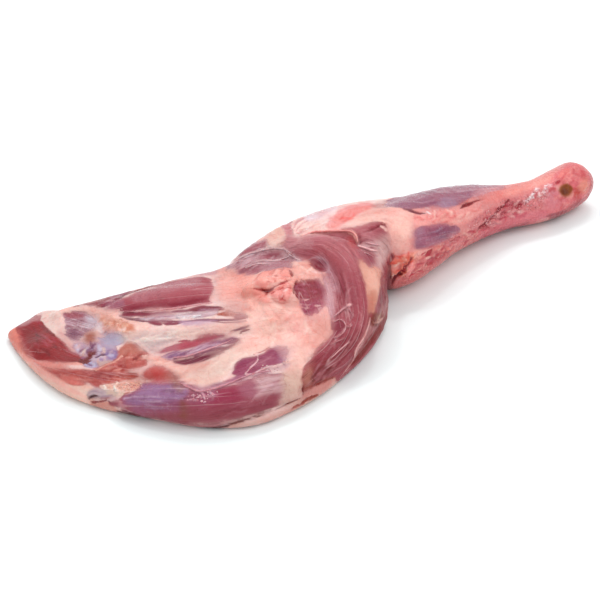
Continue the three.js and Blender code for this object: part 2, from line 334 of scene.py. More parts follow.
def divide(points, faces, chosen):
    """Cuts each chosen four-sided face in four; its neighbours get the new corners too."""
    edges = np.stack([faces, np.roll(faces, -1, 1)], -1).reshape(-1, 2)
    edges, edge_of = np.unique(np.sort(edges, 1), axis=0, return_inverse=True)
    edge_of = edge_of.reshape(-1, 4)
    split = np.zeros(len(edges), bool)
    split[edge_of[chosen]] = True
    middle_of = len(points) + np.cumsum(split) - 1
    middles = points[edges[split]].mean(1)
    centres = points[faces[chosen]].mean(1)
    centre_of = len(points) + len(middles) + np.arange(len(centres))
    divided = []
    for c in range(4):
        quarter = [faces[chosen, c], middle_of[edge_of[chosen, c]], centre_of,
                   middle_of[edge_of[chosen, c - 1]]]
        divided += np.stack(quarter, 1).tolist()
    for face, face_edges in zip(faces[~chosen].tolist(), edge_of[~chosen].tolist()):
        ring = []
        for corner, edge in zip(face, face_edges):
            ring.append(corner)
            if split[edge]:
                ring.append(int(middle_of[edge]))
        divided.append(ring)
    return np.concatenate([points, middles, centres]), divided


def facing_camera(points, normals):
    """How squarely each point faces the camera, from -1 to 1, and the way there."""
    toward = camera_place - points
    toward /= np.linalg.norm(toward, axis=1, keepdims=True)
    return (normals * toward).sum(1), toward


def plain_mesh(name, points, faces):
    mesh = bpy.data.meshes.new(name)
    mesh.from_pydata((points * MM).tolist(), [], faces)
    mesh.polygons.foreach_set("use_smooth", np.ones(len(mesh.polygons), bool))
    return mesh


def normals_of(mesh):
    normals = np.zeros(3 * len(mesh.vertices), np.float32)
    mesh.vertex_normals.foreach_get("vector", normals)
    return normals.reshape(-1, 3).astype(float)


meat_points, meat_faces = surface_mesh()
meat_points = settle(meat_points, SETTLE_ROUNDS) - DRAWING_CENTRE
rough_normals = normals_of(plain_mesh("rough", meat_points, meat_faces.tolist()))
rough_facing = facing_camera(meat_points, rough_normals)[0]
on_view = (rough_facing > FINE_FACING) & (meat_points[:, 2] > 0)
meat_points, meat_faces = divide(meat_points, meat_faces, on_view[meat_faces].all(1))
meat_points = settle(meat_points + DRAWING_CENTRE, 1) - DRAWING_CENTRE
meat_mesh = plain_mesh("lamb_shoulder_meat", meat_points, meat_faces)
meat_normals = normals_of(meat_mesh)
meat_tree = BVHTree.FromPolygons([Vector(p) for p in meat_points], meat_faces)

# The look of the cut: what is muscle, fat, silverskin and gristle, with some
# painted shade and painted highlights among them, laid on the points of the
# meat as colour, relief and finish. The rib side follows the photograph; the
# outer side, which it hides, is a plain fat cover.
SEED = 7
LATTICE = 32
LATTICE_SHIFT = 7.3
lattice = np.random.default_rng(SEED).uniform(-1, 1, (LATTICE,) * 3)


def mottle(points, scale, shift=0):
    """Soft random values between -1 and 1, in lumps of the given size."""
    place = points / scale + shift * LATTICE_SHIFT
    whole = np.floor(place).astype(int)
    part = place - whole
    part = part * part * (3 - 2 * part)
    value = 0
    for corner in np.ndindex(2, 2, 2):
        weight = 1
        index = []
        for q in range(3):
            weight = weight * (part[:, q] if corner[q] else 1 - part[:, q])
            index.append((whole[:, q] + corner[q]) % LATTICE)
        value = value + weight * lattice[tuple(index)]
    return value


def ramp(value, low, high):
    t = np.clip((value - low) / (high - low), 0, 1)
    return t * t * (3 - 2 * t)


def tint(code):
    """Linear colour of a hexadecimal one."""
    parts = np.array([int(code[i:i + 2], 16) / 255 for i in (0, 2, 4)])
    return np.where(parts <= 0.04045, parts / 12.92, ((parts + 0.055) / 1.055) ** 2.4)


# Which points the photograph shows: those that face the camera with nothing in
# the way, softened over a few rounds of neighbours.
FACING_LOW = 0.0
FACING_HIGH = 0.12
CLEAR_OF_SURFACE = 1.2
SEEN_ROUNDS = 3
SEEN_LOW = 0.1
SEEN_HIGH = 0.7

sight = photo_place(meat_points)
facing, toward_camera = facing_camera(meat_points, meat_normals)
seen = np.zeros(len(meat_points))
for i in np.flatnonzero(facing > 0):
    start = Vector(meat_points[i] + CLEAR_OF_SURFACE * meat_normals[i])
    seen[i] = meat_tree.ray_cast(start, Vector(toward_camera[i]))[0] is None
mesh_edges = np.zeros(2 * len(meat_mesh.edges), np.int32)
meat_mesh.edges.foreach_get("vertices", mesh_edges)
mesh_edges = mesh_edges.reshape(-1, 2)
neighbours = np.bincount(mesh_edges.ravel(), minlength=len(seen))
for _ in range(SEEN_ROUNDS):
    near_sum = (np.bincount(mesh_edges[:, 0], seen[mesh_edges[:, 1]], len(seen))
                + np.bincount(mesh_edges[:, 1], seen[mesh_edges[:, 0]], len(seen)))
    seen = 0.5 * seen + 0.5 * near_sum / neighbours
shown = ramp(facing, FACING_LOW, FACING_HIGH) * ramp(seen, SEEN_LOW, SEEN_HIGH)

# Fibres run along the muscles. Each guide is a path in the photograph's
# pixels, x, y after x, y, as all paths of marks are. Every point keeps how far
# it lies along and across the nearest.
FIBRE_GUIDES = dict(
    tip=[15, 335, 45, 340, 72, 350],
    tip_stripes=[60, 318, 95, 328],
    low_bands=[35, 360, 80, 372, 130, 378],
    far_belly=[105, 308, 150, 298, 210, 290],
    strips=[120, 315, 180, 312, 248, 312],
    ridge=[130, 330, 200, 330, 260, 325],
    spindle=[160, 355, 200, 345, 238, 338],
    near_belly=[120, 402, 180, 402, 240, 395, 290, 385],
    near_patch=[232, 372, 262, 360, 292, 350],
    neck=[225, 265, 255, 250, 290, 245],
    band=[288, 250, 325, 243, 352, 262, 364, 300, 362, 325, 345, 355, 308, 385],
    inner_band=[300, 250, 322, 258, 338, 285, 345, 315],
    rim=[340, 240, 370, 238, 388, 255, 386, 300, 380, 325, 355, 360],
    leg_top=[385, 203, 440, 196, 500, 190],
    leg_belly=[412, 240, 455, 228],
    leg_middle=[400, 250, 450, 240, 520, 215, 560, 200],
    leg_low=[395, 280, 440, 262, 480, 238],
    elbow=[300, 225, 350, 215, 400, 212],
)
GUIDE_STEPS = 4
FRAY_WIDTH = 2.2
FRAY_LENGTH = 20

along_fibre = np.zeros(len(meat_points))
across_fibre = np.zeros(len(meat_points))
nearest_guide = np.full(len(meat_points), np.inf)
second_guide = np.full(len(meat_points), np.inf)
for guide in FIBRE_GUIDES.values():
    hits = [meat_tree.ray_cast(Vector(camera_place), Vector(photo_ray(pixel)))[0]
            for pixel in smooth_curve(np.reshape(guide, (-1, 2)), GUIDE_STEPS)]
    curve = np.array([tuple(hit) for hit in hits if hit])
    guide_gap = np.full(len(meat_points), np.inf)
    guide_along = np.zeros(len(meat_points))
    guide_across = np.zeros(len(meat_points))
    length = 0
    for start, end in zip(curve[:-1], curve[1:]):
        step = np.linalg.norm(end - start)
        course = (end - start) / step
        away = meat_points - start
        t = away @ course
        aside = away - np.clip(t, 0, step)[:, None] * course
        gap = np.linalg.norm(aside, axis=1)
        side = np.sign((np.cross(meat_normals, course) * aside).sum(1))
        closer = gap < guide_gap
        guide_gap[closer] = gap[closer]
        guide_along[closer] = (length + t)[closer]
        guide_across[closer] = (side * np.linalg.norm(away - t[:, None] * course, axis=1))[closer]
        length += step
    closer = guide_gap < nearest_guide
    second_guide = np.where(closer, nearest_guide, np.minimum(second_guide, guide_gap))
    nearest_guide = np.where(closer, guide_gap, nearest_guide)
    along_fibre[closer] = guide_along[closer]
    across_fibre[closer] = guide_across[closer]
fibre_place = np.stack([across_fibre / FRAY_WIDTH, along_fibre / FRAY_LENGTH,
                        np.zeros(len(meat_points))], 1)

# How a mark's edge frays, in lumps and along the fibres, and where it fades.
fray = (mottle(meat_points, 9, 1) * 0.45 + mottle(meat_points, 4, 2) * 0.3
        + mottle(fibre_place, 1, 3) * 0.9)
fade = 0.7 + 1.5 * ramp(mottle(meat_points, 20, 5), -0.1, 0.5)


class Skin:
    """What every point of the meat looks like: the colour that its fat has and
    the one that its muscle has, which of the two is bare, relief and finish."""

    def __init__(self, fat_colour, muscle_colour, share):
        count = len(share)
        self.colour = {"fat": fat_colour, "muscle": muscle_colour}
        self.share = share
        self.relief = np.zeros(count)
        self.finish = {"gloss": np.full(count, 0.4), "grain": np.zeros(count),
                       "fibre": np.full(count, 0.8), "veil": np.zeros(count),
                       "beads": np.zeros(count)}

    def tint(self, layer, where, amount, colour):
        part = amount[:, None]
        self.colour[layer][where] = self.colour[layer][where] * (1 - part) + tint(colour) * part


class Mark:
    """One area or, where it has a width, one line, in the photograph's pixels."""

    SPREAD = 3.5
    AREA_SOFTNESS = 1.9
    AREA_RAGGED = 1.3
    LINE_RAGGED = 0.5
    LINE_STUB = 0.1
    LINE_TAPER = 0.6
    CURVE_STEPS = 5

    def __init__(self, layer, colour, path, soft, strength=1, width=None, ragged=1.5, lift=0,
                 dome=6, **finish):
        self.layer = layer
        self.colour = colour
        self.path = np.reshape(path, (-1, 2))
        self.width = width
        self.soft = soft if width else soft * self.AREA_SOFTNESS
        self.ragged = ragged * (self.LINE_RAGGED if width else self.AREA_RAGGED)
        self.strength = strength
        self.lift = lift
        self.dome = dome
        self.finish = finish

    def depth(self, curve, here):
        """Pixels from the edge of the mark, positive inside it."""
        if self.width is None:
            return distance_inside(here, curve)
        deepest = np.full(len(here), -np.inf)
        pieces = len(curve) - 1
        for i in range(pieces):
            along = curve[i + 1] - curve[i]
            away = here - curve[i]
            t = np.clip(away @ along / (along @ along), 0, 1)
            part = self.LINE_STUB + (1 - 2 * self.LINE_STUB) * (i + 0.5) / pieces
            half = self.width / 2 * math.sin(math.pi * part) ** self.LINE_TAPER
            deepest = np.maximum(deepest, half - np.linalg.norm(away - t[:, None] * along, axis=1))
        return deepest

    def lay_on(self, skin):
        curve = smooth_curve(self.path, self.CURVE_STEPS, closed=self.width is None)
        margin = self.soft + self.ragged + self.SPREAD + (self.width or 0)
        inside = (sight > curve.min(0) - margin) & (sight < curve.max(0) + margin)
        where = np.flatnonzero(inside.all(1) & (shown > 0))
        depth = self.depth(curve, sight[where])
        edge = depth + self.ragged * fray[where]
        view = shown[where]
        half_soft = self.soft / 2 * (1 if self.width else fade[where])
        amount = ramp(edge, -half_soft, half_soft) * view
        spread = ramp(edge, -half_soft - self.SPREAD, half_soft - self.SPREAD) * view
        share = skin.share[where]
        if self.layer == "muscle":
            skin.tint("muscle", where, (amount + (spread - amount) * (1 - share)) * self.strength,
                      self.colour)
            skin.share[where] = share + (1 - share) * amount
        elif self.layer == "fat":
            skin.tint("fat", where, (amount + (spread - amount) * share) * self.strength, self.colour)
            skin.share[where] = share * (1 - amount)
        else:
            skin.tint("fat", where, amount * self.strength, self.colour)
            skin.tint("muscle", where, amount * self.strength, self.colour)
        for name, value in self.finish.items():
            old = skin.finish[name][where]
            skin.finish[name][where] = old + (value - old) * amount
        if self.width is None:
            rise = np.clip((depth + self.soft / 2) / (self.dome + self.soft / 2), 0, 1)
            skin.relief[where] += self.lift * rise * (2 - rise) * view
        else:
            skin.relief[where] += self.lift * amount


def muscle(colour, path, soft, strength=1, **how):
    return Mark("muscle", colour, path, soft, strength, **how)


def fat(colour, path, soft, strength=1, **how):
    return Mark("fat", colour, path, soft, strength, **how)


def wash(colour, path, soft, strength=1, **how):
    return Mark("both", colour, path, soft, strength, **how)


STROKE_REACH = (0.3, 0.6)
STROKE_BEND = 0.25
STROKE_WIDTH = (0.6, 1.3)


def strokes(kind, colours, area, count, length, width, course, spread, seed, soft, strength=1,
            **how):
    """Short strokes inside an area: how many, how long and wide in pixels, their
    course in degrees up from the photograph's right, and its spread."""
    chance = np.random.default_rng(seed)
    outline = np.reshape(area, (-1, 2)).astype(float)
    marks = []
    while len(marks) < count:
        middle = chance.uniform(outline.min(0), outline.max(0))
        if distance_inside(middle[None], outline)[0] < 0:
            continue
        turn = math.radians(chance.normal(course, spread))
        reach = np.array([math.cos(turn), -math.sin(turn)]) * length * chance.uniform(*STROKE_REACH)
        bend = reach[::-1] * [-1, 1] * chance.uniform(-STROKE_BEND, STROKE_BEND)
        colour = colours[chance.integers(len(colours))]
        marks.append(kind(colour, [middle - reach, middle + bend, middle + reach], soft, strength,
                          width=width * chance.uniform(*STROKE_WIDTH), **how))
    return marks


# Outer side: fat cover with the muscle showing mauve through its thin places.
FAT_COVER = "ecc3bd"
THIN_COVER = "d9a3a3"
BARE_MUSCLE = "a55a66"
COVER_STRETCH = [0.6, 1, 1]
COVER_CLOUD = 46
COVER_BLOTCH = 17
COVER_LUMP = 11
COVER_BUMP = 4.5
cover_noise = (mottle(meat_points * COVER_STRETCH, COVER_CLOUD, 6)
               + 0.45 * mottle(meat_points, COVER_BLOTCH, 7))
thin = ramp(cover_noise, -0.3, 0.4)[:, None]
skin = Skin(tint(FAT_COVER) * (1 - thin) + tint(THIN_COVER) * thin,
            np.tile(tint(BARE_MUSCLE), (len(meat_points), 1)), ramp(cover_noise, 0.25, 0.75))
skin.relief += (0.35 * mottle(meat_points, COVER_LUMP, 8)
                + 0.15 * mottle(meat_points, COVER_BUMP, 9))

# The marks. Each says its colour, path, soft edge in pixels and strength, then
# the rest by name. Strokes say kind, colours, area, count, length, width,
# course, its spread, seed, soft edge and strength.
# First the ground colours of the whole cut, under everything else.
GROUND = dict(
    blade_fat=fat("eec6c2", [5, 325, 45, 295, 140, 275, 215, 250, 270, 220, 330, 190, 420, 175, 500, 230,
        400, 330, 330, 425, 200, 445, 90, 425, 15, 375], 6),
    shoulder_meat=muscle("a85a62", [286, 246, 300, 238, 345, 232, 385, 220, 400, 250, 400, 290, 394, 330,
        372, 368, 332, 400, 302, 412, 303, 385, 318, 352, 333, 330, 334, 300, 318, 272, 300, 260], 4),
    leg_pink=fat("e09391", [385, 205, 420, 185, 490, 175, 560, 150, 605, 150, 610, 190, 570, 230,
        500, 245, 450, 275, 400, 300, 386, 262], 6, gloss=0.6),
)

# Blade tip: the cut end with its rim, stripes of silverskin, the first mauve
# muscle, the fat cap and the lumps along the near side.
TIP = dict(
    rim=fat("e58a7e", [5, 331, 14, 322, 22, 322, 24, 345, 34, 360, 50, 370, 70, 381, 60, 382, 38, 370,
        22, 358, 10, 344], 3),
    near_fat=fat("f3bbae", [18, 352, 30, 360, 50, 372, 75, 382, 95, 388, 94, 400, 84, 406, 62, 396,
        42, 382, 28, 370], 4, lift=0.3),
    # Pale fat made brighter than its own colour where the near edge turns away: painted light.
    near_fat_light=wash("ffdccf", [66, 384, 78, 384, 90, 390, 90, 398, 76, 394], 4, 0.8),
    cut_meat=muscle("a03f48", [17, 329, 20, 323, 30, 317, 41, 315, 44, 323, 50, 330, 57, 335, 65, 342,
        71, 349, 79, 353, 88, 357, 86, 363, 74, 364, 58, 364, 44, 362, 33, 360, 25, 350, 20, 340], 2),
    cut_meat_dark=wash("86303a", [20, 330, 26, 324, 36, 328, 44, 336, 40, 346, 30, 344, 24, 338], 8, 0.7),
    cut_meat_bright=wash("941828", [36, 350, 50, 346, 62, 346, 72, 352, 66, 358, 50, 361, 40, 359], 6,
        0.8),
    cut_meat_side=wash("bc6a66", [17, 330, 22, 334, 25, 346, 33, 357, 28, 358, 20, 346], 3, 0.8),
    cut_meat_top=wash("c08c8e", [20, 325, 28, 318, 41, 314, 42, 318, 32, 322, 24, 326], 3, 0.8, veil=0.3),
    cut_meat_low=wash("8c3840", [52, 359, 66, 356, 86, 358, 84, 363, 66, 364], 3, 0.8),
    cut_meat_streak=wash("c07880", [38, 334, 44, 336, 52, 342], 2, 0.6, width=2.2),
    cut_meat_dark_strokes=strokes(wash, ["6a2430", "7c2430"], [24, 326, 42, 322, 66, 346, 72, 356,
        36, 352], 16, 10, 2.4, -40, 20, 1, 2.5, 0.6),
    cut_meat_pale_strokes=strokes(wash, ["b3606a"], [24, 326, 42, 322, 66, 346, 72, 356, 36, 352], 14, 8,
        1.4, -35, 15, 2, 2, 0.5),
    stripe=fat("e6beb8", [41, 317, 48, 312, 55, 311, 62, 314, 62, 322, 64, 330, 68, 337, 72, 343, 76, 350,
        72, 351, 66, 343, 58, 336, 50, 330, 45, 324], 1.8, lift=0.5, fibre=0.6),
    stripe_pink=wash("d49c9a", [58, 332, 64, 333, 75, 349, 70, 349], 3),
    first_muscle=muscle("b2848f", [63, 315, 70, 311, 84, 311, 92, 316, 97, 322, 94, 329, 88, 333, 80, 339,
        72, 340, 68, 332, 65, 324], 2.5, gloss=0.8, veil=0.3, fibre=1.8),
    first_stripes=strokes(wash, ["8a5666", "dcc0c6", "925e6c"], [68, 320, 90, 318, 88, 331, 76, 338,
        70, 332], 14, 16, 1.7, -14, 5, 15, 1.6, 0.75),
    first_lens=muscle("aa6670", [64, 315.5, 70, 312, 80, 312, 87, 315, 80, 318, 68, 318], 2.4, veil=0),
    first_lens_low=muscle("8d5f70", [67, 333, 74, 331, 82, 334, 76, 338, 70, 337], 2, veil=0),
    violet_skin=wash("c9b4bf", [86, 317, 96, 316, 104, 323, 101, 329, 92, 328, 86, 324], 4, gloss=0.9,
        veil=0.3),
    fat_cap=fat("f2c2b9", [60, 310, 76, 306, 98, 308, 117, 312, 120, 317, 136, 321, 150, 326, 152, 332,
        146, 336, 136, 335, 122, 330, 110, 322, 98, 317, 84, 311, 66, 312], 1.8, lift=0.7),
    cap_orange=fat("df9a8a", [101, 319, 108, 317.5, 118, 320, 126, 326, 122, 330, 112, 328, 104, 325], 3,
        lift=0.5),
    cap_orange_right=fat("d07f6c", [126, 328, 132, 326.5, 137, 331, 135, 338, 127, 337], 2.4, lift=0.5),
    cap_orange_low=fat("d89080", [103, 329, 110, 327, 117, 328, 117, 332, 108, 333], 2.4, lift=0.4),
    cap_lumps=strokes(wash, ["c87c66", "efbba8", "f2c6b8", "d08a74"], [100, 320, 112, 318, 126, 324,
        136, 332, 128, 337, 104, 332], 20, 6, 3.2, -12, 30, 5, 2.6, 0.6, lift=0.4, gloss=0.9),
    cap_dark_seams=strokes(wash, ["c67e68"], [104, 322, 120, 324, 124, 329, 108, 328], 5, 5, 1.6, -10, 30,
        6, 1.8, 0.6, lift=-0.3),
    brown_lump=fat("a8685e", [85, 336, 90, 332, 97, 333, 98, 341, 91, 345, 85, 342], 2, lift=0.5),
    peach_lump=fat("d9a094", [96, 332, 102, 334, 102, 341, 97, 341], 1.5, lift=0.6),
    gristle=muscle("b894a4", [74, 346, 80, 343, 90, 345, 101, 337, 110, 333, 124, 336, 122, 343, 117, 348,
        119, 356, 110, 362, 98, 368, 86, 366, 83, 361, 85, 356, 77, 353], 2.6, ragged=2, gloss=1,
        fibre=0.1, veil=0.1),
    gristle_light=wash("bdb4cb", [103, 337, 112, 333.5, 124, 336, 128, 341, 118, 346.5, 106, 347], 5, 0.9,
        gloss=1),
    gristle_grey=wash("d6c6c8", [122, 337, 134, 335, 142, 342, 138, 350, 126, 348], 5, 0.85),
    gristle_low=wash("9078a6", [97, 353, 108, 350, 117, 352, 114, 359, 102, 362], 3.4, 0.9, gloss=1),
    gristle_pale=wash("bdb2d0", [84, 362, 92, 358, 98, 362, 94, 368, 86, 367], 2.6, gloss=1),
    gristle_strokes=strokes(wash, ["d2cae0", "9890b4", "dcc6cc", "a88498"], [76, 347, 92, 346, 102, 350,
        116, 354, 98, 366, 84, 362], 26, 6, 2.4, 20, 45, 7, 2.2, 0.6, lift=0.3),
    gristle_dark=strokes(wash, ["80506c", "6e4660"], [78, 347, 98, 342, 112, 350, 104, 360, 88, 364], 10,
        7, 1.8, 30, 45, 8, 1.6, 0.8, lift=-0.4),
    gristle_pink=strokes(wash, ["dcb0b0", "c49a9e", "e2bcae"], [76, 346, 100, 344, 112, 358, 90, 366], 12,
        6, 2.2, 20, 50, 9, 2, 0.6, lift=0.3, gloss=1),
    gristle_peach=wash("c6a29c", [98, 363, 108, 360.5, 113, 363, 103, 368], 2.6, 0.9),
    slit_1=muscle("7a1e2c", [79, 359, 86, 355, 91, 351, 96, 350, 94, 355, 88, 362, 80, 363], 1.5,
        lift=-1.4, veil=0),
    slit_2=muscle("5b2f52", [95, 358, 100, 356, 105, 355], 1.5, width=2.2, lift=-0.8, veil=0),
    near_lumps=muscle("be6661", [120, 350, 126, 344, 136, 342, 145, 350, 151, 357, 146, 366, 134, 370,
        120, 374, 106, 373, 97, 371, 108, 365, 117, 361], 3.4, ragged=1.2, lift=0.9, gloss=0.9,
        fibre=0.3),
    lumps_brown=wash("c47c70", [120, 348, 128, 343, 140, 344, 144, 353, 130, 356, 121, 356], 3, 0.9),
    lumps_strokes=strokes(wash, ["dc948a", "cf746c", "a04a4a"], [104, 370, 120, 358, 146, 354, 142, 366,
        120, 372], 22, 10, 2, 25, 25, 10, 1.8, 0.7, lift=0.3),
    lump_spots=strokes(wash, ["9c4846", "b05a50"], [122, 354, 142, 352, 142, 364, 122, 364], 8, 5, 2.6,
        40, 40, 11, 2.8, 0.6, lift=-0.2),
    lump_dark=wash("852628", [133, 361.5, 136, 359.5, 137, 362], 2, 0.8, width=2.6, lift=-0.4),
    lump_peach=wash("f0b4a4", [138, 343, 143, 343, 145, 350, 141, 351], 2.4, 0.8),
    low_band=muscle("b8625f", [34, 362, 50, 366, 62, 368, 80, 369, 100, 371, 118, 374, 134, 373, 138, 377,
        128, 382, 114, 386, 100, 388, 88, 384, 76, 385, 64, 381, 50, 375, 38, 368], 3, ragged=1.2,
        gloss=0.8),
    low_band_red=wash("e88880", [62, 377, 72, 377, 84, 381, 78, 385, 66, 382], 3, 0.8),
    low_band_right=wash("bc6058", [108, 378, 128, 375, 136, 376, 126, 382, 108, 386], 3, 0.8),
    low_band_brown=wash("a45a5c", [82, 371, 100, 373, 114, 376, 104, 380, 86, 377], 3, 0.8),
    low_band_left=wash("d9827a", [34, 362, 46, 365, 58, 369, 50, 373, 38, 368], 3, 0.9),
    low_band_strokes=strokes(wash, ["dc9890", "aa4c50", "cc7a74"], [44, 367, 84, 371, 134, 375, 116, 385,
        70, 382], 30, 10, 2.2, -8, 14, 12, 2.2, 0.45, lift=0.2),
    pale_streak=fat("e39c94", [49, 367, 56, 363, 66, 363, 80, 362, 81, 365, 66, 367, 56, 369], 1.5,
        lift=0.6),
    upper_streak=fat("f09c94", [30, 358, 40, 361, 52, 363, 46, 366, 36, 363], 1.8),
    lump_line=fat("dc988c", [96, 371, 106, 366, 116, 362, 122, 357], 1.8, width=1.6, lift=0.3),
    membrane=muscle("ceb4b9", [88, 391, 96, 389, 108, 389, 118, 391, 116, 396, 104, 398, 94, 399,
        88, 397], 4.6, ragged=1, gloss=0.9, fibre=0.1, lift=0),
    membrane_beige=wash("dcbfae", [108, 389, 120, 388, 124, 394, 114, 397, 106, 394], 3, 0.8),
    membrane_fat=fat("e9b5a6", [100, 386, 112, 383, 126, 380, 140, 380, 142, 389, 128, 392, 112, 390],
        2.5, gloss=0.9, beads=0.9),
    # Specks of wet fat on the membrane; the whitest of them are painted glints.
    membrane_specks_and_glints=strokes(fat, ["fff4ee", "fbe0d4", "f6cdbf"], [102, 385, 120, 381, 134, 383, 126, 391,
        108, 392], 16, 4, 1.6, 10, 60, 13, 1.3, lift=0.5, gloss=1),
    # The slit is painted near-black: painted shadow inside it.
    membrane_slit=muscle("4e1026", [89.5, 397.5, 93, 396, 97.5, 396], 1.8, width=3.4, lift=-0.9, veil=0),
    membrane_lines=[wash("a08398", path, 1.8, 0.6, width=1.6, lift=-0.2) for path in (
        [90, 392, 95, 391.5, 101, 393], [97, 396, 105, 396.5, 112, 395])],
    membrane_spot=wash("b2604e", [125, 394.5, 129, 393], 2, 0.8, width=2.4),
    membrane_low=wash("b898a6", [98, 397, 112, 396, 118, 400, 106, 401], 2.6, 0.5),
    lip=fat("d8988e", [90, 405, 98, 402, 108, 401, 117, 406, 124, 411, 110, 411, 96, 409], 1.8, lift=0.7),
    lip_red_line=muscle("943a40", [92, 402, 98, 402, 106, 400.5], 1.6, width=1.8, lift=-0.5),
    lip_dark_line=muscle("6e4450", [108, 401, 118, 407, 128, 412, 140, 415], 1.6, width=1.6, lift=-0.7),
    rim_light=wash("fbb5ab", [22, 354, 33, 363.5, 46, 373, 60, 382, 74, 391, 86, 396.5], 3, 0.75,
        width=5),
)

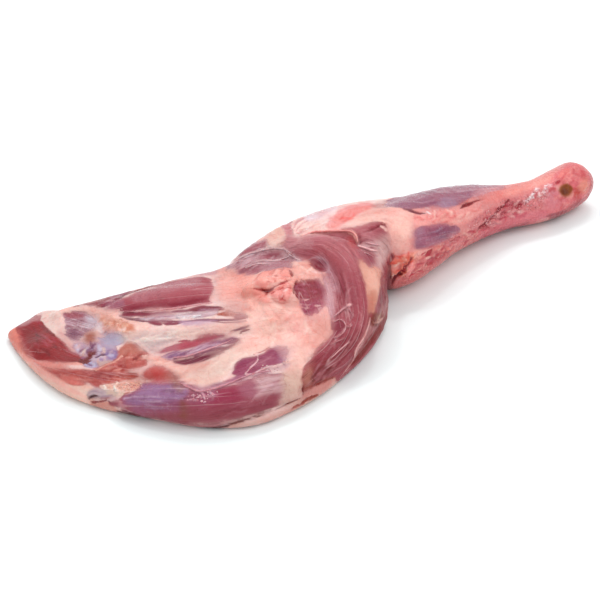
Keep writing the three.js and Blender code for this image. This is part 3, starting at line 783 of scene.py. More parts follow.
# Middle of the blade: long muscles running towards the shoulder, with fat
# ridges and shining strips of silverskin between them.
BLADE = dict(
    far_thin_muscle=muscle("94404e", [74, 307, 84, 303.5, 94, 300.5, 104, 298, 116, 294, 128, 289,
        138, 286, 130, 292, 118, 299, 110, 305, 102, 308, 90, 306], 2.5),
    far_edge_veil=wash("b88a96", [112, 296, 124, 290, 140, 284, 150, 282, 146, 287, 128, 294, 116, 298],
        3, 0.6),
    far_thin_line=muscle("74303e", [102, 307, 112, 302, 125, 295, 140, 290, 152, 286], 1.8, width=2.2,
        lift=-0.6),
    far_belly=muscle("ae5e68", [107, 308, 113, 303, 123, 298, 138, 291, 154, 286, 170, 282, 185, 279,
        198, 277.5, 207, 279, 212, 284, 214, 291, 211, 298, 205, 303.5, 188, 306.5, 168, 309, 145, 310.5,
        124, 310.5], 3, ragged=2, lift=0.5, fibre=0.6),
    far_belly_rose=wash("b25c66", [150, 294, 175, 288, 198, 284, 208, 288, 200, 296, 175, 300, 152, 303],
        8, 0.7, fibre=0.6),
    far_belly_sheen=wash("c4949b", [128, 298, 145, 290, 168, 284, 190, 279, 200, 280, 196, 285, 176, 288,
        156, 293, 138, 299], 7, 0.6, gloss=0.9, veil=0.2),
    far_belly_low=wash("8c3a48", [122, 307, 150, 304, 180, 301, 206, 297, 205, 301, 180, 306, 150, 309,
        126, 309], 4, 0.7),
    far_belly_left=wash("ad7486", [106, 306, 114, 302, 124, 300, 124, 307, 114, 309], 4, 0.7, gloss=0.9,
        veil=0.4),
    far_pale_strip=fat("d2a4a8", [160, 283.5, 176, 279, 200, 273, 226, 266, 228, 270, 204, 276, 180, 280],
        2.5, fibre=0.7, lift=0.3),
    far_strip_line=muscle("7c3442", [138, 290, 150, 286, 160, 283, 172, 280], 1.6, width=1.6, lift=-0.3),
    far_fat=fat("dcb6b3", [216, 280, 220, 275, 232, 270, 240, 280, 232, 296, 218, 304, 217, 300,
        219, 290], 6, 0.8),
    far_fat_strokes=strokes(wash, ["caa0a2", "e9c4c0"], [212, 282, 232, 272, 236, 286, 218, 302], 12, 12,
        2.4, 25, 30, 40, 3, 0.6),
    far_line=fat("dba2a8", [124, 312, 145, 311.5, 168, 309.5, 190, 306.5, 212, 303], 1.4, width=1.5,
        lift=0.4, gloss=1),
    strip_muscle=muscle("8e4654", [119, 316, 124, 312.5, 138, 311.5, 156, 311.5, 176, 310, 192, 308.5,
        206, 307, 220, 307.5, 223, 310, 208, 312, 190, 313, 168, 315, 148, 317.5, 128, 318], 2, lift=0.3),
    strip_grey=wash("a87480", [160, 313, 176, 311, 188, 310, 186, 314, 170, 316], 3, 0.5),
    strip_dark=wash("84374a", [180, 312.5, 192, 310, 206, 308, 220, 308.5, 206, 311, 190, 313], 2, 0.7),
    silver_strip=muscle("d6b2bb", [128, 319, 145, 318, 162, 316, 180, 314, 200, 312, 218, 311, 214, 316,
        198, 319, 180, 320, 160, 321, 142, 321], 2.5, lift=0.5, gloss=1, veil=0.6),
    silver_glint=fat("fff4f6", [178, 318, 188, 317.5, 200, 316], 1.8, width=3, gloss=1, lift=0.4),
    silver_streaks=strokes(wash, ["eed8de", "b98ea0"], [134, 319, 170, 315, 214, 312, 206, 317, 160, 320],
        12, 22, 1.2, 4, 3, 41, 1.4, 0.6),
    lens_line=muscle("7c3e4c", [120, 316.5, 128, 318.8, 140, 320.5, 153, 321.5], 1.6, width=2, lift=-0.5),
    lens_1=muscle("904656", [148, 321, 156, 320.5, 162, 322, 162, 326, 154, 325.5], 2, lift=-0.4),
    lens_2=muscle("8e4658", [163, 322, 172, 321, 182, 321, 177, 325.5, 166, 326], 2, lift=-0.4),
    violet_line=muscle("8a566a", [178, 323, 192, 320.5, 206, 319.5, 220, 319.5, 234, 319.5, 246, 318],
        1.8, width=2.4, lift=-0.5),
    violet_shade=wash("c59cb2", [180, 322, 196, 320, 214, 320, 216, 325, 200, 328, 184, 327], 4, 0.9),
    sliver=muscle("b25e52", [216, 315, 224, 311.5, 232, 311, 240, 312.5, 244, 315.5, 234, 317.5,
        222, 317.5], 1.6, lift=0.4, gloss=0.8),
    sliver_dark=muscle("94485a", [236, 313, 246, 314, 250, 317.5, 244, 319.5, 234, 318], 2, lift=-0.2),
    second_line=muscle("a8717a", [212, 321, 224, 322.5, 236, 322.5, 246, 321], 1.8, width=1.8, lift=-0.3),
    ridge=fat("e9bdb6", [124, 336, 138, 331, 160, 329, 190, 328, 225, 325, 250, 325, 246, 338, 225, 334,
        195, 336, 172, 341, 150, 347, 136, 343], 6, lift=0.6, fibre=0.5),
    ridge_pink=wash("e6b0a8", [186, 327, 204, 325, 228, 324, 246, 322, 246, 328, 226, 331, 200, 331], 6,
        0.7),
    ridge_grey=wash("caa8aa", [134, 340, 146, 334, 166, 332, 180, 334, 170, 343, 154, 352, 143, 350], 8,
        0.85),
    ridge_strokes=strokes(wash, ["e9d2cc", "caa2a4", "f3d0c6"], [136, 340, 156, 331, 220, 326, 196, 335,
        156, 350], 26, 24, 2, 9, 7, 42, 2.6, 0.5, lift=0.2),
    ridge_streak_1=muscle("90606a", [231, 332, 240, 329.5, 250, 326], 3, width=3, lift=-0.3),
    ridge_streak_2=muscle("8c545e", [240, 333, 246, 330.5, 250, 330], 2.2, width=2.6, lift=-0.3),
    spindle_red=muscle("b85e6a", [160, 354, 168, 348, 178, 343.5, 190, 340, 205, 336.5, 220, 334,
        226, 335.5, 218, 340, 206, 344, 192, 348, 178, 351], 3, ragged=2, lift=0.5),
    spindle_crimson=wash("b24e5e", [182, 345, 196, 341, 212, 338, 214, 340, 196, 346, 184, 348], 4, 0.7),
    spindle_fade=wash("b4747e", [158, 355, 164, 349, 176, 344, 178, 349, 168, 354], 5, 0.6),
    spindle_violet=muscle("8f5d78", [160, 357, 172, 353, 188, 350, 204, 345, 218, 340, 232, 337, 238, 340,
        228, 344, 212, 350, 196, 355, 180, 358, 168, 360], 2, gloss=1, lift=0.2, veil=0.25),
    spindle_blue=wash("9a7092", [164, 356, 176, 353, 188, 352, 178, 357, 168, 359], 4, 0.7),
    spindle_lines=strokes(wash, ["cfa6b6", "8c5a70"], [166, 357, 200, 347, 232, 338, 220, 346, 190, 356],
        14, 22, 1.1, 22, 3, 43, 1.3, 0.6),
    spindle_strand=fat("d9a0ac", [174, 358, 188, 356, 204, 351, 218, 346, 232, 340], 1.6, width=1.6,
        lift=0.4),
    spindle_shade=muscle("864856", [174, 362, 184, 360, 196, 358, 210, 353, 222, 348, 234, 342, 240, 341,
        232, 348, 218, 356, 204, 361, 190, 364.5, 178, 364], 2.5, lift=-0.3),
    spindle_tip=wash("99606c", [222, 336, 232, 337.5, 240, 340, 236, 344, 226, 343], 3, 0.8),
    pale_ridge=fat("ebb8ae", [142, 358, 150, 356, 162, 358, 176, 366, 200, 364, 220, 357, 240, 346,
        262, 342, 268, 346, 262, 352, 244, 358, 232, 368, 226, 377, 208, 384, 186, 382, 176, 374,
        166, 367, 152, 364], 4, lift=0.5),
    pale_ridge_grey=wash("e2beb4", [190, 370, 212, 362, 230, 360, 228, 374, 208, 381, 192, 379], 9, 0.8),
    pale_ridge_light=wash("f9ccc2", [150, 358, 162, 361, 178, 369, 176, 374, 162, 367], 5, 0.8, lift=0.3),
    pale_ridge_strokes=strokes(wash, ["f7d4cb", "dca8a0", "e6c6bd"], [176, 370, 230, 356, 262, 345,
        236, 366, 200, 382], 26, 18, 2.4, 26, 14, 44, 3, 0.45),
    near_belly=muscle("a65e69", [109, 403, 122, 398, 136, 390, 142, 383, 160, 381, 178, 382, 194, 388,
        207, 390.5, 222, 387, 241, 381.5, 254, 377, 274, 373.5, 290, 376, 298, 386, 298, 398, 284, 405,
        272, 409, 252, 415.5, 232, 422, 208, 426, 187, 425, 165, 421, 143, 416, 122, 410], 3, ragged=2,
        lift=0.4, fibre=0.7),
    violet_half=wash("a2789a", [124, 401, 136, 393, 144, 384, 160, 382, 178, 384, 188, 391, 184, 400,
        160, 405, 134, 406], 7, gloss=1, veil=0.25, fibre=0.8),
    violet_low=wash("a0637c", [130, 408, 156, 404, 180, 402, 184, 410, 164, 413, 142, 413], 6, 0.8),
    belly_crimson=wash("a54a60", [194, 398, 212, 391, 236, 385, 246, 390, 240, 402, 216, 407, 198, 407],
        10, 0.75),
    # The belly's lower part painted darker: painted shade where it turns down to the edge.
    belly_low=wash("99545a", [150, 415, 180, 414, 210, 412, 240, 408, 262, 402, 256, 412, 230, 420,
        205, 424, 176, 421], 8, 0.8),
    belly_olive=wash("915a4c", [180, 400, 186, 401, 188, 414, 186, 421, 181, 416], 5, 0.6),
    belly_violet=wash("b27384", [238, 386, 252, 381, 264, 384, 262, 394, 246, 398], 8, 0.7),
    belly_wedge=wash("98545e", [248, 407, 256, 400, 266, 396, 278, 394, 276, 402, 268, 408, 258, 411], 5,
        0.85),
    clear_skin=wash("d3a8ab", [254, 378, 268, 375, 284, 376, 290, 384, 286, 392, 270, 393, 256, 399,
        258, 389], 7, 0.85, gloss=1, veil=0.5),
    clear_strokes=strokes(wash, ["dcb6b6", "b87e88"], [250, 382, 272, 375, 290, 380, 280, 398, 256, 402],
        12, 16, 2.4, 26, 10, 45, 3, 0.35),
    clear_glint=wash("d6a6ae", [251, 402, 256, 396, 262, 391, 272, 384], 2.4, 0.7, width=2.6, gloss=1),
    clear_end=fat("d6aea4", [284, 374, 296, 378, 304, 390, 300, 400, 286, 405, 280, 398, 288, 386], 6,
        gloss=0.8),
    belly_shelf=wash("b07c88", [176, 380, 190, 384, 206, 387, 224, 383, 240, 377, 232, 383, 212, 389,
        190, 389], 4, 0.9),
    shelf_violet=wash("a06c7c", [212, 386, 226, 381, 242, 374, 246, 378, 230, 385], 4, 0.8),
    red_oval=muscle("c66a67", [142, 375, 147, 369, 155, 366, 164, 367, 171, 373, 174, 380, 160, 382,
        148, 380], 4.5, ragged=0.4, lift=0.3, fibre=0.1, veil=0, gloss=0.6),
    red_oval_deep=wash("be4c4c", [152, 371, 162, 369, 168, 374, 164, 379, 154, 378], 5, 0.7),
    oval_brown=wash("a07064", [168, 378, 176, 376, 184, 386, 180, 392, 172, 386], 5, 0.7),
    belly_fluff=wash("b07086", [184, 398, 192, 393, 200, 389, 214, 390, 214, 399, 204, 404, 188, 404], 5,
        0.6, beads=0.95),
    patch_fluff=wash("c08c98", [262, 366, 276, 362, 290, 358, 288, 368, 268, 373], 5, 0.5, beads=0.7),
    belly_strand=fat("cf929e", [180, 383, 190, 388.5, 200, 391.5, 215, 388.5, 232, 382.5, 244, 377,
        256, 373, 270, 371], 1.6, width=2, lift=0.5, gloss=1),
    belly_line_1=wash("c8a6be", [124, 399, 140, 397, 160, 397.5, 184, 399], 1.6, 0.9, width=1.8),
    belly_lines=strokes(wash, ["bb94ae", "8c5c76", "cfa8bc"], [130, 404, 146, 387, 178, 386, 188, 398,
        160, 410], 20, 26, 1.2, -3, 4, 46, 1.5, 0.5),
    belly_right_lines=strokes(wash, ["bb7884", "8e4654"], [190, 410, 216, 394, 250, 386, 256, 404,
        220, 418], 22, 26, 1.2, 12, 5, 47, 1.6, 0.4),
    belly_tendrils=[fat("dba2b0", path, 1.5, width=1.6, lift=0.3, gloss=1) for path in (
        [187, 401, 193, 399.5, 197, 401], [196, 390, 203, 394, 205, 400],
        [206, 391, 212, 394, 213, 399])],
    # A dark line along the belly's lower edge: painted shadow.
    belly_edge_shadow=muscle("6c3c44", [118, 411, 143, 418, 165, 423.5, 187, 428, 210, 428.5, 232, 424, 252, 417,
        272, 410], 2.6, width=3),
    belly_hem=wash("d08c90", [150, 418.5, 170, 422.5, 190, 425.5, 212, 425.5, 228, 422], 1.6, 0.8,
        width=1.6),
    near_patch=muscle("9c5068", [231, 374, 234, 367, 240, 361.5, 250, 357.5, 260, 354, 267, 349, 274, 346,
        284, 345, 290, 350, 288, 360, 278, 365, 268, 368, 256, 371.5, 248, 375, 238, 378], 3.4,
        ragged=1.5, lift=0.4),
    patch_left=wash("9c4a64", [232, 373, 238, 366, 246, 366, 244, 373, 236, 376], 3, 0.7),
    patch_soft=wash("a97f96", [276, 345, 290, 346, 294, 356, 288, 365, 280, 362, 280, 354], 7, 0.8,
        veil=0.2),
    patch_strokes=strokes(wash, ["c98696", "8e465e"], [238, 370, 260, 356, 282, 348, 280, 360, 252, 370],
        16, 14, 1.4, 22, 8, 48, 1.8, 0.45),
    patch_forks=[fat("e0acb4", path, 1.3, width=1.5, lift=0.5, gloss=1) for path in (
        [258, 356, 257, 362, 251, 368, 245, 374], [245, 375, 253, 375, 261, 370.5, 272, 366.5])],
    patch_edge=fat("dcb0b0", [264, 369, 274, 367, 284, 364, 292, 360], 1.8, width=2.2, lift=0.4, gloss=1),
    patch_crease=muscle("c98484", [270, 340, 270, 346, 264, 351, 254, 355], 2, width=1.8, lift=-0.6),
    patch_low=wash("ab6a80", [226, 381, 234, 376, 244, 376, 236, 381], 3, 0.8),
)

# Middle of the shoulder: the thick fat over the joint, with loose lumps, the
# wing of fat beyond them and the window of bare muscle.
JOINT_FAT = dict(
    joint_fat=fat("f3b9b0", [222, 270, 236, 270, 256, 274, 290, 264, 312, 262, 330, 274, 334, 300,
        334, 318, 332, 336, 320, 348, 308, 362, 303, 376, 302, 390, 290, 394, 288, 372, 292, 350,
        280, 344, 258, 352, 240, 350, 250, 334, 248, 318, 226, 306, 219, 297, 218, 286], 5, ragged=2.5,
        lift=0.3, gloss=0.5),
    joint_light=wash("f7c4ba", [246, 306, 262, 300, 280, 306, 298, 318, 312, 330, 308, 350, 296, 366,
        290, 352, 272, 338, 252, 330], 14, 0.85),
    joint_pink=wash("f4a297", [236, 276, 252, 276, 258, 288, 252, 300, 238, 294], 9, 0.8),
    joint_pink_2=wash("f6aca6", [288, 318, 302, 314, 306, 330, 300, 345, 288, 335], 10, 0.5),
    joint_grey=wash("d6a6a2", [222, 304, 240, 300, 250, 308, 246, 318, 230, 318], 8, 0.7),
    joint_low=wash("d0a79b", [284, 374, 298, 370, 302, 388, 290, 398, 282, 388], 6, 0.8),
    joint_folds=strokes(wash, ["fddccf", "eea398", "f7b6ab"], [240, 300, 290, 306, 318, 324, 304, 352,
        262, 340], 40, 12, 3, 20, 60, 50, 3.5, 0.4, lift=0.25),
    joint_clumps=strokes(wash, ["f9b7ad", "f4a59e", "fbd2c8"], [260, 305, 290, 308, 314, 326, 300, 346,
        274, 336], 18, 5, 4.5, 30, 60, 57, 3.5, 0.5, lift=0.4),
    joint_lobes=[fat(colour, path, 3, lift=0.5, dome=4, gloss=0.7) for colour, path in (
        ("f4aa9f", [238, 286, 246, 280, 254, 282, 256, 290, 250, 297, 241, 295]),
        ("f8bfb4", [247, 300, 256, 294, 264, 297, 266, 305, 256, 309, 248, 307]))],
    lump_shadow=muscle("d0605e", [254, 289, 266, 291, 266, 297], 2.6, width=2.2, lift=-0.8),
    lump_far=fat("ee9a92", [256, 285, 257, 278, 262, 272, 272, 271, 284, 268, 290, 271, 291, 278,
        286, 281, 276, 283, 266, 289, 259, 288], 2, ragged=2, lift=1.3, dome=5, gloss=0.9),
    lump_far_lobes=[fat(colour, path, 2, lift=0.5, dome=3, gloss=1) for colour, path in (
        ("f4a49a", [259, 281, 264, 274, 269, 275, 268, 282, 263, 285]),
        ("f6aaa0", [272, 280, 274, 273, 281, 271, 282, 276, 278, 280]),
        ("f2a096", [283, 277, 284, 270, 289, 271, 289, 277]))],
    lump_far_creases=strokes(wash, ["c9726c", "f9bcb2"], [260, 284, 262, 274, 284, 270, 288, 276,
        272, 283], 14, 7, 1.3, 50, 35, 55, 1.4, 0.7, lift=-0.2),
    lump_near=fat("f29a94", [270, 295, 272, 290, 282, 284, 290, 284, 293, 290, 290, 298, 282, 302,
        274, 299], 2.4, ragged=2.5, lift=1.3, dome=5, gloss=0.9),
    lump_near_lobes=[fat(colour, path, 1.8, lift=0.5, dome=2.5, gloss=1) for colour, path in (
        ("f8a8a2", [274, 296, 275, 291, 280, 290, 281, 295, 278, 299]),
        ("fbb6b0", [282, 292, 283, 287, 288, 286, 289, 290, 286, 294]),
        ("f4a09a", [284, 300, 283, 296, 288, 294, 290, 297, 287, 301]))],
    lump_near_creases=strokes(wash, ["c04a4c", "d66a68", "fccac4"], [272, 296, 280, 286, 291, 287,
        288, 301], 16, 6, 1.3, 30, 60, 56, 1.4, 0.75, lift=-0.2),
    lump_beside=fat("f4a39a", [256, 291, 264, 294, 270, 301, 264, 303, 256, 298], 3, lift=1, dome=4),
    lump_crease=muscle("b43640", [260, 289, 268, 290.5, 275, 287, 284, 283, 291, 280], 1.6, width=2,
        lift=-1),
    # The pit and holes between the lumps: near-black red, painted shade in the hollows over red tissue.
    lump_pit=muscle("a00e1e", [263, 290, 268, 291.5, 273, 289], 1.4, width=2.8, lift=-0.9, gloss=0.3,
        veil=0),
    lump_hole_1=muscle("98101e", [290, 272, 292, 274.5, 292, 277], 1.3, width=2.8, lift=-0.6, gloss=0.3,
        veil=0),
    lump_hole_2=muscle("860e1c", [297, 280, 296, 285, 294, 289, 293.5, 294], 1.3, width=2.8, lift=-0.8,
        gloss=0.3, veil=0),
    lump_edge=wash("d2706c", [272, 299, 277, 302, 283, 303.5, 290, 301.5], 1.6, 0.8, width=1.4),
    lump_vein=wash("e6a29a", [270, 306, 274, 312, 280, 319, 281, 330], 1.8, 0.6, width=1.2),
    wing=fat("efb0a6", [291, 263, 300, 259, 311, 263, 317, 270, 330, 275, 320, 279, 306, 281, 298, 281,
        295, 276, 292, 270], 2, lift=1),
    wing_folds=strokes(wash, ["fbd2c8", "d98c84"], [294, 264, 310, 266, 318, 274, 300, 278], 12, 12, 2,
        -20, 20, 51, 2, 0.6, lift=0.3),
    wing_point=fat("f3c6c2", [312, 273, 322, 274.5, 331, 273], 1.8, width=2.6, lift=0.5),
    window=muscle("97404f", [297, 283, 305, 281, 318, 280, 323, 284, 327, 290, 326, 297, 321, 302,
        309, 303, 300, 300, 295, 295], 1.4, ragged=1, lift=-0.3, veil=0.1),
    window_low=muscle("9c4159", [301, 300, 312, 300, 324, 298, 327, 304, 321, 311, 312, 316, 304, 314],
        3.2, 0.95, ragged=1.5),
    window_fade=wash("e0a0a2", [306, 317, 320, 308, 328, 304, 328, 317, 312, 323], 6, 0.4),
    window_streaks=strokes(wash, ["c07a88", "8c3c50"], [298, 286, 320, 283, 322, 298, 302, 298], 14, 14,
        1.4, -12, 10, 52, 1.7, 0.5),
    window_threads=strokes(fat, ["c08a98"], [298, 298, 318, 300, 318, 308, 302, 308], 5, 10, 1.3, 5, 12,
        53, 1.7, 0.5),
    window_ring=muscle("cf9fa8", [321, 279, 327, 277, 333, 288, 335, 302, 335, 316, 330, 318, 328, 304,
        326, 290], 4, gloss=0.9, veil=0.5, lift=0.3),
    neck_ground=muscle("c49aa0", [228, 266, 236, 259, 246, 249, 260, 240, 271, 239, 280, 245, 292, 248,
        300, 258, 292, 264, 284, 268, 270, 270, 258, 275, 246, 272, 232, 270], 3, ragged=2.5, veil=0.5,
        gloss=0.8, lift=0.2),
    neck_far=muscle("ab6670", [234, 260, 244, 252, 258, 242, 268, 240, 267, 247, 256, 251, 244, 256], 2.5,
        veil=0.1, lift=0.4),
    neck_middle=muscle("a45e69", [260, 258, 268, 252, 278, 251, 283, 255, 276, 260, 266, 261], 2.5,
        veil=0, lift=0.4),
    neck_low=muscle("b27a84", [238, 268, 244, 262, 254, 261, 264, 263, 276, 261, 290, 263, 284, 268,
        270, 269, 258, 274, 244, 271], 3, veil=0.2, lift=0.2),
    neck_low_dark=wash("a65c68", [236, 268, 248, 266, 260, 269, 256, 274, 244, 273], 3, 0.8),
    neck_strokes=strokes(wash, ["dcb9bf", "8e5460", "c99aa2"], [228, 266, 256, 244, 282, 247, 296, 258,
        262, 272], 34, 16, 1.6, 22, 14, 54, 1.7, 0.55, lift=0.2),
    neck_strands=[fat("dcbcc0", path, 1.5, width=1.4, lift=0.4, gloss=1) for path in (
        [228, 266, 242, 257, 256, 252, 270, 249, 286, 250, 298, 260],
        [250, 264, 262, 261, 276, 261, 288, 257, 293, 251], [284, 248, 290, 255, 300, 261],
        [246, 268, 258, 264, 270, 265])],
    neck_fat=fat("ecc3b8", [270, 229, 280, 224, 286, 232, 288, 240, 281, 246, 271, 248, 266, 242], 3.5,
        lift=0.6),
    neck_fat_shade=wash("a87868", [278, 245, 283, 243.5, 288, 241], 2, 0.8, width=2.2),
    neck_red=muscle("cc848a", [282, 225, 291, 220, 294, 227, 296, 236, 303, 239, 290, 241, 286, 234], 3,
        lift=0.2),
)
